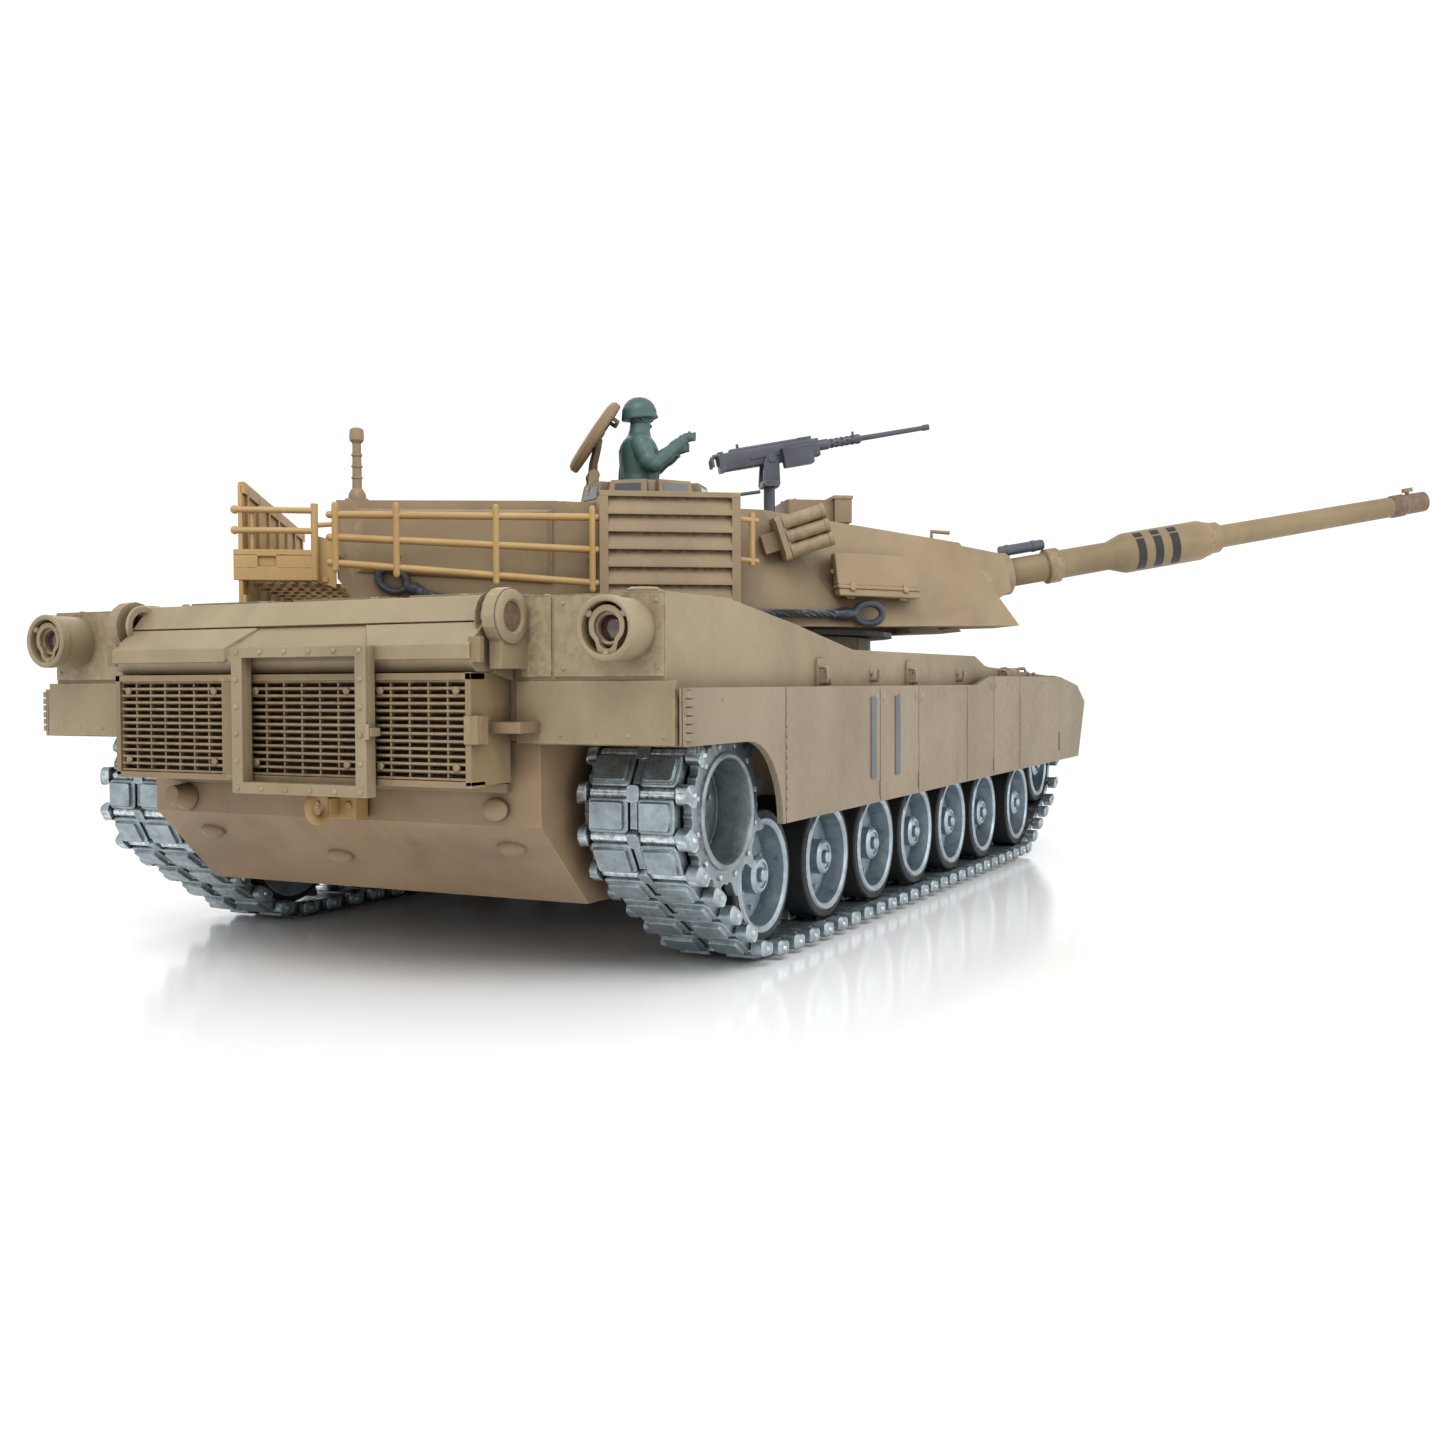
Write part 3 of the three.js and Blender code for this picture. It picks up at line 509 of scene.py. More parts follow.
def wheel_pieces(word, side, tag, body, cx, cz, r):
    """A dished double wheel with two rubber tyres and a capped hub."""
    def at(y):
        return Matrix.Translation((cx, side * y, cz)) @ Matrix.Rotation(-side * math.pi / 2, 4, "X")
    disc = Shape()
    rim = r - 2.4
    # outer dish: a deep rim, a flat web and a hub, closed behind
    disc.lathe([(3.0, 0), (rim, 0), (rim, 9.6), (rim - 0.5, 10.1), (rim - 1.5, 10.1), (rim - 2.2, 9.5),
                (rim - 3.2, 3.4), (8.4, 2.6), (8.0, 3.6), (3.0, 3.6)], at=at(92.4), n=48)
    disc.lathe([(3.0, 0), (rim, 0), (rim, 9.6), (3.0, 9.6)], at=at(78.2), n=40)
    disc.lathe([(0, 2), (5.6, 2), (5.6, 8.3), (4.7, 9.1), (3.9, 9.2), (3.7, 8.8), (2.2, 8.8), (2.1, 9.9),
                (1.5, 10.5),
                (0, 10.5)], at=at(92.4), n=28)
    plate = at(92.4) @ Matrix.Rotation(math.radians(20), 4, "Z")
    disc.loft([[(x, y, z) for x, y in rounded(-12.2, 2, -4.2, 4.2, 1, 2)] for z in (2.7, 4.6)], at=plate)
    for k in range(8):
        a = 2 * math.pi * (k + 0.5) / 8
        disc.rod((11.2 * math.cos(a), 11.2 * math.sin(a), 2.5),
                 (11.2 * math.cos(a), 11.2 * math.sin(a), 3.9), 0.75,
                 0.65, n=8, at=at(92.4))
    tyre = Shape()
    for y0, y1 in ((78.4, 87.6), (92.8, 101.9)):
        tyre.lathe([(rim - 0.15, y0 - 78), (r - 0.5, y0 - 78), (r - 0.05, y0 - 77.4), (r - 0.05, y1 - 78.6),
                    (r - 0.5, y1 - 78), (rim - 0.15, y1 - 78)], at=at(78), n=48)
    piece(f"{tag}_disc_{word}", disc, body, "wheel_metal", WHEEL, bevel=0, replaces=[body], smooth=28)
    piece(f"{tag}_tyre_{word}", tyre, body, "black_plastic", TYRE, bevel=0, smooth=28)


def sprocket_piece(word, side):
    body = f"sprocket_{word}"
    cx, cz = SPROCKET_AT
    shape = Shape()
    steps = ((0.02, 20.2), (0.10, 19.7), (0.22, 19.7), (0.32, 20.6), (0.40, 23.2), (0.455, 24.5),
             (0.51, 24.9),
             (0.565, 24.5), (0.62, 23.2), (0.70, 20.6), (0.80, 19.9), (0.92, 19.7))
    outline = []
    for k in range(12):
        for share, r in steps:
            a = (k + share) * math.pi / 6
            outline.append((r, a))

    def ring_of(radius, y):
        return [(cx + (radius or r) * math.cos(a), side * y, cz + (radius or r) * math.sin(a)) for r,
                a in outline]

    for y0, y1 in ((103.3, 106.0), (75.8, 73.4)):
        rings = [ring_of(None, y0), ring_of(None, y1), ring_of(15.2, y1), ring_of(15.2, y0)]
        shape.loft(rings, closed=True)
    at = Matrix.Translation((cx, 0, cz)) @ Matrix.Rotation(-side * math.pi / 2, 4, "X")
    # the cup, with a raised lip
    shape.lathe([(0, 96), (14.2, 96), (14.2, 106.0), (14.5, 106.9), (15.3, 107.2), (16.2, 106.8),
                 (16.4, 105.6),
                 (16.4, 91), (13.2, 90), (13.2, 88), (16.4, 87), (16.4, 74.2), (0, 74.2)], at=at, n=56)
    for k in range(12):
        a = (k + 0.51) * math.pi / 6
        x, z = cx + 18.2 * math.cos(a), cz + 18.2 * math.sin(a)
        shape.rod((x, side * 105.8, z), (x, side * 106.7, z), 0.95, 0.85, n=6)
    for k in range(5):
        a = (k + 0.25) * 2 * math.pi / 5
        x, z = cx + 9 * math.cos(a), cz + 9 * math.sin(a)
        shape.rod((x, side * 95.5, z), (x, side * 97, z), 1.2, 1.0, n=6)
    shape.rod((cx, side * 95, cz), (cx, side * 98.5, cz), 3.2, 2.8, n=16)
    piece(f"sprocket_wheel_{word}", shape, body, "track_metal", SPROCKET, bevel=0.2, segments=2,
          replaces=[body])


for word, side in SIDES:
    track_piece(word, side)
    sprocket_piece(word, side)
    wheel_pieces(word, side, "idler", f"idler_{word}", *IDLER_AT, IDLER_R)
    for i, x in enumerate(WHEEL_X):
        wheel_pieces(word, side, f"wheel_{i + 1}", f"road_wheel_{word}_{i + 1}", x, WHEEL_Z, WHEEL_R)

# ---- hull: the CAD shells keep their shape and get round edges and paint ------------
def repaint(node, mat, bevel=0.35, segments=2):
    obj = frame["nodes"][node]
    obj.data.materials.clear()
    obj.data.materials.append(mat)
    if bevel:
        weld = obj.modifiers.new("weld", "WELD")
        weld.merge_threshold = 0.00001
        mod = obj.modifiers.new("edges", "BEVEL")
        mod.width = bevel * MM
        mod.segments = segments
        mod.limit_method = "ANGLE"
        mod.angle_limit = math.radians(25)
        mod.harden_normals = True


repaint("upper_hull", SAND)
repaint("lower_hull", SAND_LOW)
repaint("turret_shell", SAND_TURRET, 0.5, 3)
repaint("mantlet", SAND_TURRET, 0.4, 3)
repaint("turret_ring", BLACK, 0)
repaint("battery_pack", WRAP, 1.5, 3)
repaint("battery_door", BLACK, 0.3)
repaint("power_switch", BLACK, 0.3)
repaint("control_board", BOARD, 0)
for word, side in SIDES:
    repaint(f"gearbox_{word}", BLACK, 0.4)

SKIRT_TOP = ((0, 80), (246, 80), (264, 83.5), (385, 83.5), (421, 79.3), (438, 71))
SKIRT_LOW = [(0, 65.5)] + [(36 + 22 * math.sin(t), 65.5 - 24 * (1 - math.cos(t)))
                           for t in (k * math.pi / 20 for k in range(11))] + [(424, 43.5), (438, 71)]
SEAMS = (0, 60, 136, 175, 233, 270, 311, 438)


def height_at(line, x):
    for (x0, z0), (x1, z1) in zip(line, line[1:]):
        if x0 <= x <= x1:
            return z0 + (z1 - z0) * (x - x0) / (x1 - x0)
    return line[-1][1]


def strip_between(x0, x1, shrink=0.0):
    low = [(x0, height_at(SKIRT_LOW, x0))] + [p for p in SKIRT_LOW if x0 < p[0] < x1]
    top = [(x0, height_at(SKIRT_TOP, x0))] + [p for p in SKIRT_TOP if x0 < p[0] < x1]
    if x1 < 437:
        low.append((x1, height_at(SKIRT_LOW, x1)))
        top.append((x1, height_at(SKIRT_TOP, x1)))
    else:
        low.append(SKIRT_LOW[-1])
    return low + [(x, z - shrink) for x, z in reversed(top)]


TAIL_X, TAIL_Y, TAIL_Z = -12.7, 98.3, 94.6
LAMP_X, LAMP_Y, LAMP_Z = 411.5, 82, 84.2
LUG_Z = 98.2


def skirt_piece(word, side):
    def y(v):
        return side * v

    s = Shape()
    s.prism(strip_between(0, 438), y(112.0), y(113.1))
    for a, b in zip(SEAMS, SEAMS[1:]):
        s.prism(strip_between(a + (0.3 if a else 0), b - (0.3 if b < 438 else 0)), y(112.6), y(114.0))
    for x in SEAMS[1:-1]:
        low, top = height_at(SKIRT_LOW, x), height_at(SKIRT_TOP, x)
        if x in (60, 233, 311):  # piano hinges
            z = low + 1.5
            while z < top - 8:
                s.rod((x, y(114.0), z), (x, y(114.0), z + 2.1), 0.55, n=8)
                z += 2.9
        else:
            for dx in (-3.2, 3.2):
                s.rivet((x + dx, y(114.0), top - 4), (0, side, 0), 1.5, 0.35, 12)
                s.rivet((x + dx, y(114.2), top - 4), (0, side, 0), 0.7, 0.35, 6)
            s.box(x - 0.9, x + 0.9, y(113.9), y(114.5), low + 2, low + 7)
    for x in (20, 96, 155, 204, 290, 350, 400):
        top = height_at(SKIRT_TOP, x)
        s.rivet((x, y(114.0), top - 3), (0, side, 0), 0.55, 0.3, 8)
    z = 67
    while z < 78:  # the rear hinge stack
        s.box(-0.2, 2.6, y(113.6), y(114.9), z, z + 1.7)
        z += 2.1
    # a thin dark sheet in the shape of a slot: painted shade
    s.prism(rounded(381.8, 384.2, 48, 57, 1.1, 3), y(113.9), y(114.25), mat=1)
    for x in (35, 90, 150, 210, 300, 370):
        s.box(x - 2, x + 2, y(108.4), y(112.2), height_at(SKIRT_TOP, x) - 6, height_at(SKIRT_TOP, x) - 3)
    for x in (127, 150):  # plain painted bars
        s.box(x, x + 4.5, y(114.0), y(114.42), 50, 76.5, mat=2)
    piece(f"skirt_panels_{word}", s, "hull", "sand_plastic", [SAND_SIDE, DARK_SAND, GREY_PAINT], bevel=0.22,
          replaces=[f"skirt_{word}"])

    # clips and handles on the sponson's wall above the skirts
    c = Shape()
    for x, big in ((97.5, 1), (142.5, 0), (179.7, 1), (237.8, 0), (300, 1), (345, 0)):
        if big:
            c.prism(rounded(x - 3.4, x + 3.4, 79.5, 88.5 if x < 260 else 86.5, 1), y(108.1), y(109.3))
            c.tube([(x - 1.5, y(108.6), 81), (x - 1.5, y(111.6), 81.6), (x - 1.5, y(111.9), 83),
                    (x - 1.5, y(111.6), 85.6),
                    (x - 1.5, y(108.6), 86.2)], 0.75)
            c.tube([(x + 2.1, y(108.6), 80.6), (x + 2.1, y(111.2), 81), (x + 2.1, y(111.2), 84.4),
                    (x + 2.1, y(108.6), 85)], 0.6)
        else:
            c.tube([(x, y(108.2), 82), (x, y(110.6), 82), (x, y(111.3), 83.2), (x, y(111.3), 85.4)], 0.8)
            c.rivet((x, y(108.2), 84.6), (0, side, 0), 1.4, 0.8, 10)
    # deck fittings: fuel caps, bolts and the sponson's rear plates
    c.loft([[(x, y(91 + w), z) for x, w in rounded(14, 26, -6, 6, 3)] for z in (103.6, 105.0)])
    c.lathe([(0, 0), (4.6, 0), (4.6, 1.2), (3.6, 1.8), (0, 1.8)], at=along("z", 20, y(91), 104.6), n=24)
    for x in (6, 32):
        for v in (70, 104):
            c.rivet((x, y(v), 103.8), (0, 0, 1), 1.1, 0.7, 6)
    c.box(-0.55, 0.6, y(76.2), y(108.0), 82.9, 103.3)
    c.box(-0.4, 0.6, y(66), y(75.2), 82.9, 103.3)
    c.box(-0.7, 0.6, y(64.6), y(111.2), 65.8, 81.8)
    for v in (79, 106):
        for z in (85, 101.6):
            c.rivet((-0.55, y(v), z), (-1, 0, 0), 0.6, 0.35)
    for v in (68, 78, 88, 98, 108):
        c.rivet((-0.7, y(v), 68), (-1, 0, 0), 0.55, 0.3)
    # lifting lug plates
    c.prism([(-9, 84), (-1, 82), (-1, 96), (-9, 96)], y(61.8), y(63.9))
    lug = facing(side, -8, y(68), LUG_Z)
    c.lathe([(3.9, 0), (6.9, 0), (6.9, 0.7), (6.2, 1.1), (4.5, 1.1), (3.9, 0.6)], at=lug, n=36)
    # a thin dark disc fills the lug's open eye: painted shade
    c.lathe([(0, 0), (3.95, 0), (3.95, 0.18), (0, 0.18)], at=lug, n=28, mat=1)
    inner = facing(-side, -8, y(61.7), LUG_Z)
    c.lathe([(3.9, 0), (6.4, 0), (6.0, 0.6), (4.3, 0.6)], at=inner, n=36)
    piece(f"sponson_fittings_{word}", c, "hull", "sand_plastic", [SAND, DARK_SAND], bevel=0.2)

    # tail light: a tube, a bezel and a lens
    t = Shape()
    at = Matrix.Translation((TAIL_X, y(TAIL_Y), TAIL_Z)) @ Matrix.Rotation(math.pi / 2, 4, "Y")
    t.lathe([(6.9, 0), (7.6, 0), (8.05, 0.5), (8.05, 3), (7.7, 3.4), (7.7, 12.4), (0, 12.4), (0, 8.6),
             (6.3, 8.2), (6.5, 0.4)],
            at=at, n=48)
    t.lathe([(3.3, 2.8), (4.0, 2.6), (4.5, 3.2), (4.6, 8.8), (3.3, 8.8)], at=at, n=32)
    shield = [(5.1 * math.cos(u), 0.6 + 5.1 * math.sin(u))
              for u in (math.radians(18 * k - 9) for k in range(12))]
    shield += [(-4.7, -1.6), (-3.2, -3.4), (-2.6, -5.8), (-1.2, -7.0), (1.2, -7.0), (2.6, -5.8),
               (3.2, -3.4), (4.7, -1.6)]
    rings = [[(x, y(TAIL_Y) + u * k, TAIL_Z + v * k) for u, v in shield] for x,
             k in ((-11.4, 1.0), (-5, 1.0), (-5, 0.72),
                                                                                (-11.4, 0.72))]
    t.loft(rings, closed=True)
    for u, v in ((-5.0, 3.6), (5.0, 3.6), (0, -6.4)):
        t.rivet((-11.4, y(TAIL_Y) + u, TAIL_Z + v), (-1, 0, 0), 1.0, 0.6, 12)
    t.lathe([(0, 3.3), (2.0, 3.5), (3.3, 4.3), (3.3, 8.8), (0, 8.8)], at=at, n=32, mat=1)
    piece(f"tail_lamp_{word}", t, "hull", "sand_plastic", [SAND, LENS], bevel=0.12,
          replaces=[f"tail_light_{word}"])

    # headlight with its guard
    h = Shape()
    at = Matrix.Translation((LAMP_X, y(LAMP_Y), LAMP_Z)) @ Matrix.Rotation(math.pi / 2, 4, "Y")
    h.lathe([(0, 0), (2.2, 0), (3.1, 1.4), (3.4, 3.5), (3.4, 9.2), (2.9, 9.6), (2.8, 8.8), (0, 8.8)], at=at,
            n=32)
    h.lathe([(0, 8.9), (2.75, 8.9), (2.2, 9.4), (0, 9.7)], at=at, n=28, mat=1)
    h.box(413, 419, y(LAMP_Y) - 3, y(LAMP_Y) + 3, 79.4, 81.6)
    for dy in (-4.6, 4.6):
        h.tube([(424, y(LAMP_Y) + dy, 78.4), (424, y(LAMP_Y) + dy, 87.2), (421, y(LAMP_Y) + dy, 88.3),
                (411, y(LAMP_Y) + dy, 88),
                (409.5, y(LAMP_Y) + dy, 81)], 0.6)
    h.tube([(423, y(LAMP_Y) - 4.6, 87.7), (423, y(LAMP_Y) + 4.6, 87.7)], 0.55)
    piece(f"headlamp_{word}", h, "hull", "sand_plastic", [SAND, GLASS], bevel=0.1,
          replaces=[f"headlight_{word}"])


for word, side in SIDES:
    skirt_piece(word, side)

# ---- the engine grille at the rear -----------------------------------------------------
FACE, HALF = -17.5, 62.5
g = Shape()
g.box(FACE + 4.5, -0.4, -HALF + 1.2, HALF - 1.2, 56.2, 83)
for y in (-HALF, HALF - 1.8):  # end plates
    g.box(FACE, -0.4, y, y + 1.8, 55.5, 84.1)
g.box(FACE, FACE + 6, -HALF, HALF, 54.9, 56.6)
g.box(FACE, FACE + 6, -HALF, HALF, 82.2, 84)
for y0, y1 in ((12.2, 21.6), (-30.5, -25.4)):
    g.box(FACE + 0.2, FACE + 6, y0, y1, 55.5, 84)
BARS = ((21.6, 60.7, 7), (-25.4, 12.2, 6), (-60.7, -30.5, 5))
for y0, y1, columns in BARS:
    rows = 14
    for r in range(rows):
        z = 57.0 + r * (82.0 - 57.0) / (rows - 1)
        g.loft([[(FACE + 0.5, y, z - 0.25), (FACE + 3.8, y, z - 1.2), (FACE + 3.8, y, z - 0.5),
                 (FACE + 0.5, y, z + 0.45)]
                for y in (y0, y1)])
    for k in range(columns + 1):
        y = y0 + (y1 - y0) * k / columns
        g.box(FACE + 0.9, FACE + 2.4, y - 0.3, y + 0.3, 56.3, 82.6)
    for y in (y0 + 3, y1 - 3):
        for z in (60, 79.5):
            g.rivet((FACE + 0.4, y, z), (-1, 0, 0), 1.2, 0.5, 6)
for y in (-50, -20, 20, 50):
    g.rivet((-2.6, y, 104), (0, 0, 1), 1.3, 0.8, 10)
g.box(FACE + 1, FACE + 5, -HALF - 1.6, -HALF + 0.2, 66, 73)
g.box(FACE - 0.4, FACE + 1.8, -HALF - 2.2, -HALF + 2, 66, 73.2)
g.box(-10, -0.4, -72, -HALF + 0.4, 68.6, 71.4)
for sy in (-1, 1):
    g.box(FACE - 0.2, FACE + 1.6, sy * (HALF + 1.2) - 1.8, sy * (HALF + 1.2) + 1.8, 86.6, 93)
piece("engine_grille", g, "hull", "sand_plastic", SAND_BROWN, bevel=0.12, segments=1,
      replaces=["rear_grille"])

hood = Shape()
hood.prism([(-0.4, 84.2), (FACE + 2.6, 84.2), (FACE, 87.2), (FACE, 90.6), (-10.4, 96.6), (-4.6, 103.2),
            (-0.4, 103.2)],
           -HALF - 0.1, HALF + 0.1)
hood.prism([(-11.0, 97.3), (-5.0, 104.1), (-0.5, 104.1), (-0.5, 100), (-7, 96)], -HALF - 0.3, HALF + 0.3)
for sign, top_y, low_y in ((1, 14, 19.5), (-1, 24, 30.5)):  # raised side panels with slanting inner edges
    edge = HALF + 0.2
    hood.convex([(x, sign * y, z) for x, z, inner in ((-10.9, 97.0, top_y), (FACE - 0.9, 91.2, low_y),
            (FACE - 0.9, 87.4, low_y),
                                                      (FACE + 1, 87.4, low_y), (-10, 94.6, top_y))
                 for y in (inner, edge)])
piece("engine_hood", hood, "hull", "sand_plastic", SAND, bevel=0.3)

f = Shape()
X0, X1 = FACE - 4.6, FACE - 0.8
OUT, IN = (-33, 13.2, 52, 91.3), (-29.4, 9.4, 55, 88.4)
for y0, y1, z0, z1 in ((OUT[0], IN[0], OUT[2], OUT[3]), (IN[1], OUT[1], OUT[2], OUT[3]),
                       (IN[0], IN[1], OUT[2], IN[2]),
                       (IN[0], IN[1], IN[3], OUT[3])):
    f.box(X0 + 1.4, X1, y0, y1, z0, z1)
f.loft([[(X0, y, z) for y, z in ((OUT[0], OUT[2]), (OUT[0], OUT[3]), (OUT[1], OUT[3]), (OUT[1], OUT[2]))],
        [(X0 + 1.5, y, z) for y, z in ((OUT[0], OUT[2]), (OUT[0], OUT[3]), (OUT[1], OUT[3]),
                                       (OUT[1], OUT[2]))],
        [(X0 + 1.5, y, z) for y, z in ((IN[0], IN[2]), (IN[0], IN[3]), (IN[1], IN[3]), (IN[1], IN[2]))],
        [(X0, y, z) for y, z in ((IN[0], IN[2]), (IN[0], IN[3]), (IN[1], IN[3]), (IN[1], IN[2]))]],
       closed=True)
for k in range(6):
    y = OUT[0] + 2 + k * (OUT[1] - OUT[0] - 4) / 5
    for z in (53.4, 89.9):
        f.rivet((X0, y, z), (-1, 0, 0), 0.8, 0.5)
for k in range(1, 5):
    z = 53.4 + k * 36.5 / 5
    for y in (OUT[0] + 1.8, OUT[1] - 1.8):
        f.rivet((X0, y, z), (-1, 0, 0), 0.8, 0.5)
f.rod((X0 - 0.2, OUT[0] - 0.6, 67), (X0 - 0.2, OUT[0] - 0.6, 71), 0.7, n=10)
f.box(X0, X1, OUT[0] - 1.6, OUT[0] + 0.5, 67.8, 70)
piece("rack_frame_riveted", f, "hull", "sand_plastic", SAND, bevel=0.2, replaces=["rack_frame"])

p = Shape()
p.box(-3, 2.2, -13, 3, 44.2, 51.8)
p.tube([(-9.4 + 3.4 * math.cos(t), -5.3, 47.6 + 3.4 * math.sin(t))
        for t in (k * math.pi / 12 for k in range(24))], 1.35,
       closed=True)
p.box(-6.6, -2.6, -7.2, -3.4, 45.2, 50)
p.rod((-2.8, -10.6, 48), (-3.6, -10.6, 48), 1.2, n=6)
p.rod((-2.8, 0.4, 48), (-3.6, 0.4, 48), 1.2, n=6)
piece("tow_hook", p, "hull", "sand_plastic", RAIL, bevel=0.3, replaces=["tow_pintle"])

d = Shape()
d.rod((2.6, 56, 48), (-3.6, 56, 49), 4.2, 2.6, n=20)
d.ball((1.6, -56, 48), 3.4, n=8, squash=(0.5, 1.2, 0.9))
for y, z, x in ((52, 37.5, 8.6), (8, 31.5, 14.6), (-56, 37.2, 9)):
    d.ball((x, y, z), 3.1, n=8, squash=(0.7, 1.5, 0.8))
d.box(0.8, 3.2, -60, 60, 52.6, 55)
for y in (-44, -22, 0, 22, 44):
    d.rivet((0.8, y, 53.8), (-1, 0, 0), 0.7, 0.4)
piece("rear_plate_fittings", d, "hull", "sand_plastic", SAND_LOW, bevel=0.3)

# the engine deck, driver's hatch and glacis
t = Shape()


def deck_z(x):
    return height_at(((0, 103.8), (35, 103.8), (80, 98.3), (126, 91.7), (262, 91.7), (278, 87.5), (385, 84),
                      (452, 70.5)), x)


def on_deck(x0, x1, y0, y1, h, drop=0.4):
    z = [(x, deck_z(x)) for x in (x0, x1)]
    t.loft([[(z[0][0], y, z[0][1] - drop), (z[1][0], y, z[1][1] - drop), (z[1][0], y, z[1][1] + h),
             (z[0][0], y, z[0][1] + h)]
            for y in (y0, y1)])


for y0, y1 in ((-60, -22), (-20, 20), (22, 60)):
    on_deck(4, 33, y0, y1, 0.9)
    for k in range(9):
        on_deck(6 + 3 * k, 7.6 + 3 * k, y0 + 3, y1 - 3, 1.7)
for y0, y1 in ((-62, -2), (2, 62)):
    on_deck(38, 78, y0, y1, 0.8)
    on_deck(83, 120, y0, y1, 0.8)
    for k in range(10):
        on_deck(85 + 3.3 * k, 86.6 + 3.3 * k, y0 + 5, y1 - 5, 1.6)
for side in (-1, 1):
    on_deck(300, 380, side * 66, side * 104, 0.7)
    for x in (306, 374):
        for v in (70, 100):
            t.rivet((x, side * v, deck_z(x) + 0.7), (0, 0, 1), 1.2, 0.7, 6)
t.prism([(318, 84.5), (316, 88.4), (352, 87.2), (364, 84.2)], -19, 19)
for y in (-12, 0, 12):
    t.convex([(362 + a, y + b, z) for a in (-3, 3) for b in (-4.6, 4.6)
              for z in (84, 87.6 if a < 0 else 89.2)])
t.tube([(330, -6, 87.8), (330, -6, 90), (330, 6, 90), (330, 6, 87.8)], 0.7)
for side in (-1, 1):
    t.tube([(438, side * 34, 72.5), (443, side * 34, 76.5), (447, side * 34, 75), (446.5, side * 34, 71)],
           1.5)
    t.box(434, 449, side * 34 - 3, side * 34 + 3, 70, 73)
piece("deck_fittings", t, "hull", "sand_plastic", SAND, bevel=0.2)

nose = Shape()
for side in (-1, 1):
    nose.box(447.8, 451.5, side * 44, side * 38, 60, 66)
    nose.tube([(452.5 + 3.0 * math.cos(a), side * 41, 61.5 + 3.4 * math.sin(a))
               for a in (k * math.pi / 10 for k in range(20))],
              1.0, closed=True)
nose.box(448.6, 450.2, -30, 30, 60.6, 65)
for y in (-24, -8, 8, 24):
    nose.rivet((450.2, y, 62.8), (1, 0, 0), 0.9, 0.5, 6)
piece("nose_fittings", nose, "hull", "sand_plastic", SAND_LOW, bevel=0.25)

# ---- turret ---------------------------------------------------------------------------
def turret_piece(name, shape, mats, slot="sand_plastic", **more):
    return piece(name, shape, more.pop("body", "turret"), slot, mats, at=more.pop("at", TURRET), **more)


